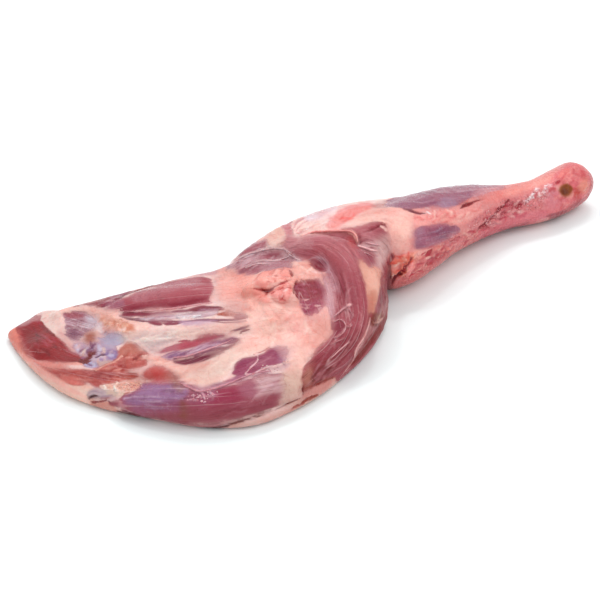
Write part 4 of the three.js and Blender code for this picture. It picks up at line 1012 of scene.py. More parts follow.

# The shoulder's round band of muscle, with the rim outside it and the dark
# strip of bare muscle, deepened with painted shade along the flap edge, down to the near edge.
BAND_INNER = np.array([(300, 249), (318, 252), (333, 270), (339, 292), (341, 314), (336, 338),
                       (322, 358), (310, 378)], float)
BAND_OUTER = np.array([(304, 236), (330, 232), (352, 244), (364, 270), (369, 300), (367, 326),
                       (352, 352), (326, 380)], float)
BAND = dict(
    band=muscle("aa5a63", [284, 244, 300, 237, 320, 233, 345, 234, 357, 246, 364, 266, 368, 290, 369, 312,
        364, 334, 352, 352, 336, 372, 306, 392, 303, 378, 308, 364, 319, 348, 332, 338, 334, 318,
        335, 300, 331, 284, 322, 268, 306, 258, 290, 252], 3, ragged=2, lift=0.4, fibre=1.3),
    band_top=wash("c57b83", [288, 245, 300, 238, 322, 234, 346, 236, 340, 241, 318, 241, 300, 245], 5,
        0.8),
    band_mauve=wash("d6a2a6", [282, 247, 294, 243, 310, 242, 306, 247, 292, 251], 4, 0.7),
    band_dark_top=wash("b06a74", [292, 251, 302, 249, 312, 252, 310, 257, 298, 256], 4, 0.8),
    band_rose=wash("c9777d", [326, 244, 344, 248, 354, 260, 352, 268, 340, 260, 328, 254], 9, 0.7),
    band_deep=wash("a25560", [336, 272, 348, 270, 358, 290, 360, 306, 350, 312, 342, 304, 338, 290], 9,
        0.5),
    band_violet=wash("c4949e", [318, 258, 328, 263, 336, 276, 340, 292, 334, 290, 326, 274], 4, 0.8,
        veil=0.35),
    band_low=wash("7a2a34", [306, 388, 310, 372, 320, 358, 336, 346, 350, 340, 362, 336, 352, 352,
        338, 366, 322, 382], 7, 0.85),
    band_low_light=wash("96505a", [328, 356, 340, 346, 352, 340, 348, 352, 334, 362], 5, 0.6),
    band_darkest=wash("782c34", [313, 386, 314, 377, 322, 368, 328, 372, 320, 384], 6, 0.6),
    band_olive=wash("b4786c", [302, 388, 303, 376, 310, 368, 312, 378, 308, 391], 5, 0.85),
    band_threads=[wash(colour, BAND_INNER * (1 - out) + BAND_OUTER * out, 1.6, strength, width=1.4,
        ragged=3, lift=lift) for out, colour, strength, lift in ((0.06, "c99298", 0.4, 0.2),
        (0.19, "8c444e", 0.45, -0.2), (0.31, "c98a90", 0.4, 0.3), (0.43, "91464f", 0.3, -0.2),
        (0.54, "c4848a", 0.35, 0.2), (0.63, "8e444c", 0.45, -0.2), (0.74, "c98a8c", 0.45, 0.3),
        (0.84, "8a4048", 0.4, -0.2), (0.93, "bf787c", 0.35, 0.2))],
    band_sheen=wash("b4666e", [336, 262, 348, 258, 356, 268, 352, 280, 342, 278], 8, 0.6, fibre=0.6),
    band_flecks=strokes(wash, ["d49a9e", "8a404a"], [336, 290, 362, 290, 360, 326, 330, 360, 336, 320],
        28, 12, 1.2, 80, 12, 60, 1.5, 0.45),
    low_flecks=strokes(wash, ["b8787c", "6a2a30"], [308, 384, 320, 362, 350, 344, 344, 360, 320, 382], 22,
        8, 1.6, 48, 14, 61, 1.8, 0.4, lift=0.2),
    low_strand=fat("dda4a6", [349, 342, 340, 350, 330, 359], 1.4, width=1.7, lift=0.5, gloss=1),
    round_window=muscle("8e4050", [333, 327, 336, 321.5, 342, 321.5, 345, 326, 343, 332, 338, 335,
        334, 332], 2.2),
    window_strands=[fat(colour, path, 1.4, width=width, lift=0.6, gloss=1) for colour, width, path in (
        ("d0969c", 2.2, [334, 317, 341, 311, 347, 307.5, 350.5, 305.5]),
        ("ca9298", 2, [333, 322, 338, 320, 343, 321, 346, 326, 344, 331, 339, 336, 334, 338.5]),
        ("ba7a82", 1.2, [349, 309, 352, 315, 350, 322]), ("c08288", 1.3, [346, 327, 350, 327, 353, 324]),
        ("c08288", 1.2, [330, 345, 338, 341, 345, 338]))],
    band_glint=fat("f0bcc0", [348.5, 306.5, 351, 305.3], 1.3, width=2, gloss=1, lift=0.4),
    oval_rim=wash("cfa8b2", [309, 260, 315, 257.5, 322, 258.5, 328, 264, 329, 271, 325, 274.5], 2, 0.5,
        width=2.6, lift=0.1),
    oval_window=muscle("8c3e4e", [311, 263, 315, 260.5, 321, 261, 325.5, 265.5, 324.5, 271, 319, 272,
        314, 268.5], 2, lift=-0.15, veil=0.1, gloss=0.5),
    rim_red=wash("bc5456", [347, 236, 353, 238, 356, 247, 350, 246], 3, 0.7),
    rim_line=fat("f4aaa6", [302, 236, 314, 232, 330, 231, 343, 230.8, 351, 232, 356, 236, 358, 243], 1.5,
        width=3, lift=0.9, gloss=0.8),
    rim_bright=fat("f2aaa2", [343, 231, 350, 231.8, 355, 235.5, 357.5, 242], 2, width=5, lift=0.8,
        gloss=0.9),
    rim_crease=muscle("7c343c", [358.5, 234.5, 359.5, 239, 360, 243.5], 1.5, width=2.4, lift=-0.9),
    rim_muscle=muscle("b0606a", [341, 230, 352, 227, 364, 224, 376, 222.5, 383, 222.5, 388, 227, 390, 236,
        392, 242, 380, 240, 368, 241, 360, 240, 355, 233], 2.5, ragged=1.5, lift=0.4),
    rim_upper=wash("a8545e", [342, 230, 354, 227, 366, 224.5, 378, 223.5, 376, 227, 364, 230, 352, 231.5],
        3, 0.8),
    rim_muscle_line=muscle("8c3e48", [359, 234, 367, 232, 374, 229, 381, 225.5], 1.8, width=2, lift=-0.5),
    rim_fat_nick=fat("eaaea8", [381, 226, 384, 228.5, 386, 231], 1.6, width=2.2),
    rim_muscle_light=wash("c17c82", [362, 233, 376, 233, 387, 236, 380, 240, 364, 239], 4, 0.7, veil=0.2),
    rim_dark_spot=muscle("8c3c44", [381, 224, 385, 225], 1.8, width=2.6, lift=-0.5),
    silverskin=muscle("cfa0a2", [362, 242, 370, 240, 380, 238, 390, 239, 391, 248, 386, 258, 384, 270,
        377, 272, 376, 262, 372, 254, 362, 251], 3.5, ragged=2, gloss=0.8, veil=0.2),
    silver_strands=[fat(colour, path, 1.6, width=width, lift=0.5, gloss=1) for colour, width, path in (
        ("f0c0c2", 3, [358.5, 246, 364, 248, 370, 250, 377, 251]),
        ("dca8ae", 2.2, [366, 243, 372, 244, 379, 245.5]),
        ("d8a4a8", 1.6, [362, 251.5, 368, 254, 374, 257]))],
    silver_dark_lines=[muscle("944e5a", path, 1.6, width=1.8, lift=-0.3, veil=0) for path in (
        [370, 247, 374, 247.6, 379, 249], [360, 243, 366, 240, 374, 241],
        [366, 253, 373, 255, 378, 256])],
    silver_dark=muscle("9e5a64", [361, 251, 368, 252, 373, 256, 374, 263, 372, 268, 369, 267, 365, 260],
        3, ragged=2.5, veil=0),
    silver_mauve=wash("d0a4a2", [376, 252, 380, 240, 389, 239, 391, 250, 386, 262, 383, 273, 375, 273,
        377, 262], 4, 0.9, gloss=0.5, veil=0),
    peach_strip=fat("db9a8c", [361, 262, 365, 266, 369, 269, 375, 268, 382, 270, 381, 280, 379, 294,
        376, 306, 374, 314, 370, 312, 368, 298, 366, 284, 363, 271], 2.6, ragged=2, lift=0.5),
    peach_light=wash("e6a799", [368, 274, 376, 272, 380, 282, 376, 292, 369, 286], 5, 0.7),
    peach_low=wash("c47c6c", [370, 292, 375, 294, 375, 308, 371, 312, 369, 304], 3.5, 0.85),
    brown_strip=muscle("9e565c", [384, 268, 388, 259, 393, 254, 397, 262, 398, 276, 396, 300, 392, 318,
        386, 328, 377, 322, 377, 306, 381, 290, 382, 276], 2.6, ragged=2, lift=-0.2, veil=0),
    brown_dark=wash("7c3640", [384, 278, 388, 266, 392, 257, 395, 263, 391, 274, 387, 290, 382, 304,
        379, 312, 378, 302, 382, 288], 3.5, 0.65),
    brown_strokes=strokes(wash, ["b27470", "70303a"], [384, 270, 392, 258, 394, 290, 388, 316, 381, 316],
        22, 20, 1.4, 84, 5, 64, 1.6, 0.55, lift=0.2),
    outer_edge=wash("dfa29e", [393, 262, 394.5, 276, 393, 296, 388, 312], 1.8, 0.75, width=3),
    brown_low=muscle("84433a", [371, 315, 377, 312.5, 383, 315, 381, 322, 375, 328, 370, 325], 2.6),
    brown_low_strokes=strokes(wash, ["b88270", "60282a", "aa7664"], [371, 316, 381, 314, 380, 322,
        373, 326], 9, 8, 1.3, 72, 8, 66, 1.8, 0.5),
    notch_lip=fat("c88276", [374, 323, 379, 321.5, 384, 317], 2, 0.7, width=1.8, lift=0.2),
    outer_rose=wash("b07474", [366, 328, 372, 326, 376, 328, 368, 340, 358, 352, 356, 350, 363, 338], 3,
        0.8),
    outer_lines=[fat(colour, path, 1.4, width=width, lift=0.4, gloss=1) for colour, width, path in (
        ("e0aaa8", 1.8, [370, 318, 368, 328, 362.5, 339, 356, 349, 353.5, 359, 344, 372.5]),
        ("cf9896", 1.4, [364, 340, 358, 349, 355, 358]))],
    # A deep red strip along the flap edge: bare muscle darkened with painted shade.
    flap_edge_shade=muscle("8a1420", [386, 318, 381, 327, 375, 335, 367.5, 344.5, 360, 355, 352, 364], 2.4,
        width=7, ragged=1.5, gloss=0.2, veil=0),
    flap=fat("d08a84", [305, 390, 316, 385, 328, 379, 335, 380, 328, 390, 314, 398, 303, 403, 300, 397],
        2.5, lift=0.8),
    flap_line=muscle("94483f", [306, 388, 318, 383.5, 332, 377.5], 1.6, width=1.6, lift=-0.8),
    skirt=fat("dfb0a6", [232, 426, 256, 420, 280, 411, 300, 402, 322, 392, 334, 382, 340, 384, 324, 398,
        300, 410, 276, 420, 250, 427], 3, lift=0.3),
    skirt_line_1=muscle("80463e", [232, 424, 250, 419.5, 268, 413, 286, 405, 300, 398], 1.8, width=1.8,
        lift=-0.8),
    skirt_marks=strokes(muscle, ["b4605a", "9c5048"], [262, 418, 290, 406, 322, 392, 318, 397, 288, 412],
        8, 10, 1.5, 28, 6, 65, 1.5, lift=-0.4),
    skirt_slit=muscle("7c2222", [302.5, 386, 302.5, 395], 1.5, width=2, lift=-1),
)

# Elbow and leg: pale sinew over the joint, violet muscle bellies in wet pink
# flesh, and the knuckle at the end of the bone.
LEG = dict(
    elbow_skin=fat("eec6c2", [292, 224, 304, 216, 320, 210, 340, 205, 346, 209, 336, 216, 330, 228,
        312, 231, 300, 236, 294, 232], 2.5, gloss=1, lift=0.3),
    elbow_cream=wash("f5cdc5", [293, 226, 304, 220, 316, 222, 330, 228, 312, 232, 298, 236], 4, 0.8),
    elbow_veil=wash("e8d3dc", [304, 216, 320, 209, 338, 205, 334, 214, 322, 219, 308, 222], 3, 0.9,
        gloss=1),
    elbow_arcs=[wash("cf8a8e", path, 1.8, 0.8, width=2.2, lift=-0.4) for path in (
        [294, 228, 297, 222, 304, 218], [296, 231, 301, 225, 308, 221], [298, 234, 304, 230, 312, 227])],
    elbow_streaks=strokes(wash, ["e0b0b2", "f6dcd8"], [306, 222, 330, 212, 338, 222, 316, 230], 12, 16,
        1.6, 20, 15, 21, 1.8, 0.6),
    elbow_pink=fat("eb9490", [328, 229, 330, 219, 338, 211, 352, 206, 368, 203, 376, 207, 362, 214,
        350, 221, 340, 228], 2.5),
    elbow_pink_edge=wash("e8a0a0", [329, 227, 332, 219, 340, 212, 352, 207, 370, 204], 2, 0.9, width=3),
    elbow_spots=strokes(wash, ["f26a68", "e27c78"], [336, 224, 346, 212, 364, 208, 358, 218, 342, 226], 8,
        7, 2.2, 20, 30, 22, 2, 0.8),
    elbow_fat=fat("f2bbb2", [344, 227, 354, 218, 366, 211, 384, 207, 400, 208, 414, 213, 412, 222,
        398, 222, 378, 220, 360, 226], 2.5, lift=0.5),
    elbow_fat_seams=strokes(wash, ["e8a49c", "f0b4a8"], [350, 222, 368, 210, 400, 209, 410, 218,
        380, 221], 12, 12, 1.6, 12, 25, 23, 1.8, 0.6, lift=-0.2),
    elbow_edge=wash("c09090", [372, 205, 384, 201, 394, 203, 390, 208, 378, 208], 3, 0.7),
    leg_belly_far=muscle("a36d7e", [385, 205, 392, 198, 402, 193, 428, 187, 452, 184, 474, 181, 494, 184,
        506, 188, 496, 192, 480, 197, 462, 203, 448, 208, 432, 206, 418, 209, 402, 209, 392, 208], 2,
        gloss=0.8, lift=0.5),
    # Paler along the top of the leg's far belly: painted sheen over its film.
    leg_far_sheen=wash("b68c97", [394, 196, 428, 187, 456, 183, 496, 183, 486, 188, 456, 190, 424, 194,
        400, 200], 4, 0.8, veil=0.3),
    leg_far_pink=wash("d89aa0", [470, 194, 486, 188, 504, 187, 494, 193, 476, 199], 3, 0.8),
    leg_far_violet=wash("965c72", [394, 207, 408, 201, 430, 198, 436, 204, 414, 208], 4, 0.7),
    blue_spot=wash("a87f92", [438, 205, 444, 198, 456, 198, 456, 206, 446, 209], 3, gloss=1),
    leg_far_strokes=strokes(wash, ["bc94a2", "87546a", "c8a6b0"], [392, 204, 430, 190, 490, 185, 474, 196,
        440, 204], 22, 22, 1.4, 10, 4, 24, 2, 0.4),
    leg_slit=muscle("7f4550", [404, 210, 410, 211, 418, 213, 426, 213], 1.6, width=2.8, lift=-1),
    leg_glint=fat("fffafa", [427, 212, 431, 214], 1.3, width=2, gloss=1, lift=0.3),
    leg_cream=fat("f2b2aa", [386, 212, 398, 209, 410, 213, 414, 222, 412, 238, 410, 250, 400, 254,
        394, 246, 389, 230], 2.5, lift=0.4),
    leg_cream_light=wash("fabfb4", [394, 216, 406, 216, 408, 232, 400, 240, 393, 230], 4, 0.7),
    leg_cream_shade=wash("e6aaa4", [390, 236, 396, 240, 400, 250, 396, 256, 390, 246], 3, 0.7),
    leg_mid_pink=fat("f0a09c", [412, 215, 430, 213, 446, 209, 458, 208, 476, 206, 484, 212, 470, 222,
        456, 225, 440, 223, 426, 225, 416, 226], 2.5, beads=0.3),
    leg_mid_lumps=strokes(wash, ["f9c4ba", "e3807e", "f4aea6", "d96a6c"], [414, 218, 446, 211, 482, 208,
        466, 222, 430, 224], 34, 7, 2.4, 20, 35, 25, 2, 0.7, lift=0.3),
    leg_belly=muscle("a8687a", [414, 248, 415, 238, 417, 230, 424, 226, 440, 224, 454, 225, 460, 229,
        455, 236, 446, 241, 432, 247, 422, 250], 2, gloss=0.8, lift=0.6, veil=0.1),
    leg_belly_dark=wash("884c62", [428, 230, 440, 227, 454, 227, 448, 234, 432, 237], 3, 0.7),
    leg_belly_red=wash("c07880", [428, 245, 442, 240, 456, 232, 460, 232, 446, 243, 432, 249], 3, 0.7),
    leg_belly_pale=wash("a8788a", [413, 238, 417, 229, 424, 228, 422, 240, 418, 248, 413, 247], 3, 0.8,
        veil=0.3),
    leg_belly_strokes=strokes(wash, ["a8889c", "6e4058"], [416, 232, 452, 226, 448, 238, 420, 246], 12,
        16, 1.2, 14, 6, 26, 1.5, 0.5),
    leg_near=fat("dc7a78", [408, 256, 428, 250, 444, 244, 458, 236, 474, 230, 488, 224, 484, 236,
        456, 256, 430, 272, 402, 288, 392, 286, 396, 270], 2.5, gloss=0.9, grain=0.6, beads=0.45),
    leg_near_cream=wash("f8b4ac", [413, 252, 424, 250, 432, 252, 426, 260, 416, 262], 3, 0.9),
    leg_near_red=strokes(muscle, ["bc3c4a", "ac3044", "c84e58"], [398, 282, 412, 260, 440, 246, 478, 228,
        470, 240, 430, 266], 34, 8, 2.6, 32, 25, 27, 1.8, lift=-0.5, gloss=1, grain=0.5),
    leg_near_pale=strokes(fat, ["f2aca4", "f7c0b4", "e89088"], [398, 282, 410, 258, 440, 246, 478, 228,
        472, 238, 432, 264], 34, 6, 2.4, 32, 40, 28, 1.8, lift=0.5, gloss=1, grain=0.3),
    leg_near_deep=strokes(wash, ["b43a4a", "bf4c58"], [402, 278, 424, 256, 452, 240, 486, 224, 470, 238,
        432, 264], 22, 11, 2, 33, 14, 35, 2, 0.7, lift=-0.3, gloss=1),
    leg_near_light=wash("e58f90", [446, 243, 458, 237, 470, 232, 470, 239, 452, 249], 4, 0.6),
    knot_1=fat("f09484", [399, 262, 402, 256, 410, 252, 417, 252, 410, 258, 404, 264], 1.8, lift=1.1,
        dome=3, gloss=1),
    knot_2=fat("f89a96", [404, 272, 407, 265, 413, 262, 412, 270, 407, 277], 2, lift=1.1, dome=3,
        gloss=1),
    knot_3=fat("ea9088", [391, 264, 396, 257, 400, 264, 397, 274, 391, 274], 2, lift=0.8),
    knot_lumps=strokes(fat, ["f6c0b2", "ee8472", "f4ab9c", "e4665a"], [392, 262, 402, 253, 416, 251,
        411, 262, 405, 276, 394, 277], 30, 7, 2.3, 48, 38, 36, 1.6, lift=0.6, gloss=1, grain=0.3),
    crevice=muscle("a02634", [393, 284, 395, 279, 400, 272, 407, 264, 410, 257], 1.8, width=2.2, lift=-1),
    # The crevice's deep end, near-black: painted shade in the crevice.
    crevice_deep=muscle("74141f", [392, 284, 395, 278, 400, 272], 1.8, width=2.8, lift=-0.9, gloss=0.3),
    leg_edge=wash("d97a78", [400, 286, 416, 278, 430, 271, 456, 256, 480, 240], 3, 0.7, width=4),
    leg_streak_1=muscle("8c2434", [461, 208, 466, 205.5, 472, 203], 1.6, width=3.4, lift=-0.6),
    leg_streak_2=muscle("98303e", [468, 204, 476, 201, 485, 199], 1.6, width=2.4, lift=-0.5),
    shank_upper=fat("e68c88", [480, 200, 490, 192, 506, 189, 524, 185, 540, 178, 556, 170, 562, 176,
        550, 186, 532, 192, 512, 196, 496, 202], 3, gloss=0.7),
    shank_upper_light=wash("ee9e96", [506, 192, 522, 187, 540, 180, 552, 174, 546, 184, 528, 190,
        514, 195], 4, 0.8),
    shank_near=fat("e07a82", [478, 234, 484, 224, 500, 216, 520, 212, 546, 210, 556, 214, 534, 224,
        504, 232, 486, 242], 3, gloss=0.9, grain=0.5),
    shank_wet=wash("dd8486", [466, 226, 482, 212, 500, 202, 520, 194, 545, 186, 558, 188, 556, 206,
        530, 212, 506, 218, 484, 230], 3, 0.8, gloss=1, grain=0.45, beads=1),
    shank_crimson=strokes(muscle, ["a02a40", "b8364c", "8c2034"], [474, 232, 496, 208, 514, 198, 530, 200,
        506, 216, 486, 230], 18, 10, 3.4, 35, 18, 29, 2, gloss=1, grain=0.5, lift=-0.4),
    shank_red=strokes(wash, ["c9505c", "bf4658"], [480, 232, 510, 212, 548, 206, 552, 212, 520, 222,
        490, 236], 22, 12, 2.4, 22, 14, 30, 2, 0.7),
    shank_deep=wash("b24458", [494, 213, 506, 204, 520, 202, 520, 211, 504, 217], 5, 0.5, gloss=1),
    # Darker along the shank's lower outline: painted shadow where it meets the table.
    shank_edge_shadow=wash("965258", [500, 229.5, 514, 226.5, 528, 223], 2.5, 0.6, width=3.5),
    shank_pale=strokes(wash, ["f0a4a4", "f4b4b0", "e88c90"], [478, 226, 500, 204, 524, 194, 552, 186,
        556, 200, 520, 212, 492, 226], 34, 6, 2.8, 25, 35, 31, 2.2, 0.7, lift=0.5, gloss=1),
    shank_cleft=muscle("8a1838", [509, 200, 501, 208, 494, 215, 486, 223, 477, 231], 1.7, width=2.4,
        lift=-0.8, gloss=1),
    shank_glints=strokes(fat, ["fbe4e6", "f4c2c4", "c45864", "ffeef0"], [528, 200, 536, 188, 553, 182,
        558, 190, 545, 199], 60, 3.2, 1.3, 38, 70, 37, 1, lift=0.5, gloss=1),
    shank_low=wash("e58a92", [486, 236, 500, 228, 530, 221, 556, 216, 562, 208, 540, 211, 510, 220], 3,
        0.6, beads=0.3),
    shank_low_light=wash("e07a80", [498, 224, 512, 220, 526, 218, 520, 223, 504, 227], 3, 0.6),
    knuckle=fat("dd777c", [550, 186, 554, 174, 566, 165, 580, 161, 590, 170, 593, 184, 589, 196, 578, 205,
        562, 213, 550, 214, 546, 200], 3, gloss=0.8, grain=0.2, beads=0.15),
    knuckle_top=wash("e8837f", [556, 178, 562, 169, 572, 168, 570, 176, 562, 182], 3, 0.9),
    knuckle_left=wash("d68c96", [548, 189, 557, 189, 560, 202, 552, 208, 546, 202], 5, 0.7),
    knuckle_pink=wash("e08484", [570, 168, 580, 164, 588, 172, 584, 178, 574, 178], 3, 0.9),
    knuckle_strokes=strokes(wash, ["c85a60", "f0a09a", "cf6268", "e88c8a"], [550, 190, 560, 172, 584, 168,
        590, 190, 570, 206, 552, 210], 38, 8, 2.6, 40, 50, 33, 2.4, 0.75, lift=0.3),
    knuckle_patches=strokes(wash, ["bc5058", "f0a8a2", "c86068"], [556, 176, 584, 168, 590, 190, 566, 208,
        552, 206], 14, 6, 4.5, 30, 60, 34, 4, 0.5, lift=0.3),
    knuckle_lump=fat("eb9a8c", [579, 191, 580, 182, 586, 179, 588, 186, 585, 193], 2, lift=0.8),
    knuckle_hollow=wash("bf4a44", [573, 193, 577, 189, 581, 193, 578, 199], 2, 0.85, lift=-0.5),
    knuckle_edge=wash("bc5e66", [590, 174, 592, 184, 588, 196, 578, 205], 3, 0.7, width=3.5),
    # The knuckle's lower side painted darker: painted shade.
    knuckle_low_shade=wash("9c525a", [548, 216, 562, 211, 572, 206, 582, 200, 578, 206, 566, 214, 552, 220],
        2.5, 0.8),
    knuckle_dot=muscle("b44650", [556, 183, 558.5, 182], 2, width=2.6),
    spot_rim=wash("94583a", [559.5, 191, 560.5, 186.5, 566, 184, 571.5, 185.5, 572.5, 191, 568.5, 196,
        562, 196], 1.2, ragged=0.6, grain=0, gloss=0.3),
    spot=wash("8a5206", [561, 190, 562, 187, 567, 185, 571.5, 187, 571.5, 191, 567.5, 194.5, 562, 194],
        0.9, ragged=0.6, lift=-0.5, gloss=0.2, veil=0),
    spot_dark=wash("74440c", [561, 191, 563.5, 189, 567, 190.5, 568.5, 193, 565, 195, 561.5, 194], 1.2,
        ragged=0.6, gloss=0.1, veil=0),
)
for marks in (GROUND, TIP, BLADE, JOINT_FAT, BAND, LEG):
    for mark in marks.values():
        for part in mark if isinstance(mark, list) else [mark]:
            part.lay_on(skin)

# Skin that the photograph doesn't show takes the look of the nearest skin that
# it does, and further off fades into the plain outer cover.
REACH = (7, 26)
REACH_RAGGED = 5
REACH_LUMP = 12
IN_SIGHT = 0.95
in_sight = np.flatnonzero(shown > IN_SIGHT)
sight_tree = KDTree(len(in_sight))
for i in in_sight:
    sight_tree.insert(meat_points[i], i)
sight_tree.balance()
hidden = np.flatnonzero(shown <= IN_SIGHT)
found = [sight_tree.find(point) for point in meat_points[hidden]]
beside = np.array([index for _, index, _ in found])
away = np.array([gap for _, _, gap in found])
away += REACH_RAGGED * mottle(meat_points[hidden], REACH_LUMP, 10)
carried = (1 - ramp(away, *REACH)) * (1 - shown[hidden])
for values in (*skin.colour.values(), skin.share, *skin.finish.values()):
    step = (values[beside] - values[hidden]).T * carried
    values[hidden] += step.T

# The fibre texture stops in a seam where two courses meet.
GUIDE_SEAM = 3
skin.finish["fibre"] *= ramp(second_guide - nearest_guide, 0, GUIDE_SEAM)

# Relief: the marks' own, faded at the table.
RELIEF_FOOT = (0.5, 5)
foot = ramp(meat_points[:, 2], *RELIEF_FOOT)
meat_points = meat_points + (skin.relief * foot)[:, None] * meat_normals
meat_mesh.vertices.foreach_set("co", (meat_points * MM).astype(np.float32).ravel())
meat_mesh.update()
shoulder = bpy.data.objects.new("lamb_shoulder_meat", meat_mesh)
bpy.context.collection.objects.link(shoulder)


def keep_vector(name, x, y, z):
    attribute = meat_mesh.attributes.new(name, "FLOAT_VECTOR", "POINT")
    attribute.data.foreach_set("vector", np.stack([x, y, z], 1).astype(np.float32).ravel())


# Light adds a thin haze to a wet surface, which the kept colours leave out.
BRIGHTNESS = 0.9
HAZE = 0.045
DARK_KEPT = 0.3
DARKEST = 0.003
for layer, colour in skin.colour.items():
    attribute = meat_mesh.attributes.new(layer + "_tint", "FLOAT_COLOR", "POINT")
    paint = np.maximum(np.maximum(colour - HAZE, colour * DARK_KEPT), DARKEST) * BRIGHTNESS
    rgba = np.concatenate([paint, np.ones((len(paint), 1))], 1)
    attribute.data.foreach_set("color", rgba.astype(np.float32).ravel())
keep_vector("wet_finish", skin.finish["gloss"], skin.finish["grain"], skin.finish["veil"])
keep_vector("fibre_run", across_fibre, along_fibre, np.zeros(len(meat_points)))
keep_vector("layers", skin.share, skin.finish["fibre"], skin.finish["beads"])


class Wire:
    """A shader value. Arithmetic on it adds Math nodes."""

    def __init__(self, nodes, socket):
        self.nodes = nodes
        self.socket = socket

    def maths(self, operation, first, second):
        return self.nodes.add("ShaderNodeMath", {"operation": operation}, {0: first, 1: second})

    def __add__(self, other):
        return self.maths("ADD", self, other)

    __radd__ = __add__

    def __sub__(self, other):
        return self.maths("SUBTRACT", self, other)

    def __rsub__(self, other):
        return self.maths("SUBTRACT", other, self)

    def __mul__(self, other):
        return self.maths("MULTIPLY", self, other)

    __rmul__ = __mul__

    def __abs__(self):
        return self.nodes.add("ShaderNodeMath", {"operation": "ABSOLUTE"}, {0: self})


class Nodes:
    """Adds nodes to one tree, of a material or of geometry."""

    def __init__(self, tree):
        self.tree = tree
        self.tree.nodes.clear()

    def add(self, kind, settings=None, inputs=None, output=0):
        node = self.tree.nodes.new(kind)
        for name, value in (settings or {}).items():
            setattr(node, name, value)
        for key, value in (inputs or {}).items():
            if isinstance(value, Wire):
                self.tree.links.new(value.socket, node.inputs[key])
            else:
                node.inputs[key].default_value = value
        return Wire(self, node.outputs[output]) if node.outputs else None

    def noise(self, place, scale, detail=2, roughness=0.5):
        return self.add("ShaderNodeTexNoise", {}, {"Vector": place, "Scale": scale, "Detail": detail,
                                                   "Roughness": roughness}, "Fac")

    def between(self, value, low, high, to_low=0, to_high=1):
        return self.add("ShaderNodeMapRange", {"interpolation_type": "SMOOTHSTEP"},
                        {"Value": value, "From Min": low, "From Max": high,
                         "To Min": to_low, "To Max": to_high})

    def mix(self, amount, first, second, blend_type="MIX"):
        """Two colours, which a Mix node takes at 6 and 7 and gives at 2."""
        return self.add("ShaderNodeMix", {"data_type": "RGBA", "blend_type": blend_type},
                        {0: amount, 6: first, 7: second}, 2)

    def kept(self, name, output="Color"):
        """What each point of the mesh keeps under a name."""
        return self.add("ShaderNodeAttribute", {"attribute_name": name}, output=output)

    def parts(self, name):
        """The three numbers kept at each point of the mesh under a name."""
        vector = self.kept(name, "Vector")
        node = self.add("ShaderNodeSeparateXYZ", {}, {0: vector}).socket.node
        return [Wire(self, socket) for socket in node.outputs]

    def scaled(self, vector, by):
        return self.add("ShaderNodeVectorMath", {"operation": "MULTIPLY"}, {0: vector, 1: by})

    def random(self, low, high, seed):
        """A number for each point; the node's float limits are its inputs 2 and 3."""
        return self.add("FunctionNodeRandomValue", {"data_type": "FLOAT"},
                        {2: low, 3: high, "Seed": seed}, 1)

    def bump(self, strength, distance, height):
        return self.add("ShaderNodeBump", {}, {"Strength": strength, "Distance": distance,
                                               "Height": height}, "Normal")

    def wet_flesh(self, colour, roughness, bump, shine, soft, reach, spread, **more):
        """The tree's wet surface, which lets light a little way in, red the furthest."""
        surface = self.add("ShaderNodeBsdfPrincipled", {}, {
            "Base Color": colour, "Roughness": roughness, "Normal": bump,
            "Specular IOR Level": shine, "Subsurface Weight": soft, "Subsurface Scale": reach,
            "Subsurface Radius": spread, **more}, "BSDF")
        self.add("ShaderNodeOutputMaterial", {}, {"Surface": surface})


def material(name):
    """A new material and its nodes."""
    made = bpy.data.materials.new(name)
    made.use_nodes = True
    return made, Nodes(made.node_tree)


FIBRE_WIDTH = 1.7
FIBRE_LENGTH = 30
FINE_FIBRE_WIDTH = 0.75
FINE_FIBRE_LENGTH = 14
THREAD_WIDTH = 8
THREAD_LENGTH = 110

meat, nodes = material("raw_meat")
place = nodes.add("ShaderNodeTexCoord", output="Object")
fat_tint = nodes.kept("fat_tint")
muscle_tint = nodes.kept("muscle_tint")
gloss, grain, veil = nodes.parts("wet_finish")
share, fibre, _ = nodes.parts("layers")
run = nodes.kept("fibre_run", "Vector")
coarse_fibre = nodes.noise(nodes.scaled(run, (1 / FIBRE_WIDTH, 1 / FIBRE_LENGTH, 0)), 1, 3, 0.6)
fine_fibre = nodes.noise(nodes.scaled(run, (1 / FINE_FIBRE_WIDTH, 1 / FINE_FIBRE_LENGTH, 0)), 1, 2)
cloud = nodes.noise(place, 26, 2)
blotch = nodes.noise(place, 70, 3, 0.6)
blush = nodes.noise(place, 130, 4, 0.65)
wet = nodes.noise(place, 280, 3, 0.6)
speck = nodes.noise(place, 620, 2)
streak = ((coarse_fibre - 0.5) + (fine_fibre - 0.5) * 0.7) * fibre

# Where muscle meets fat the edge is torn along the fibres, and each shows
# faintly through the other beside it.
edge_zone = share * (1 - share) * 4
tear = (wet - 0.5) * 0.8 + streak + (blotch - 0.5) * 0.6
bare = nodes.between(share + tear * edge_zone, 0.36, 0.64)

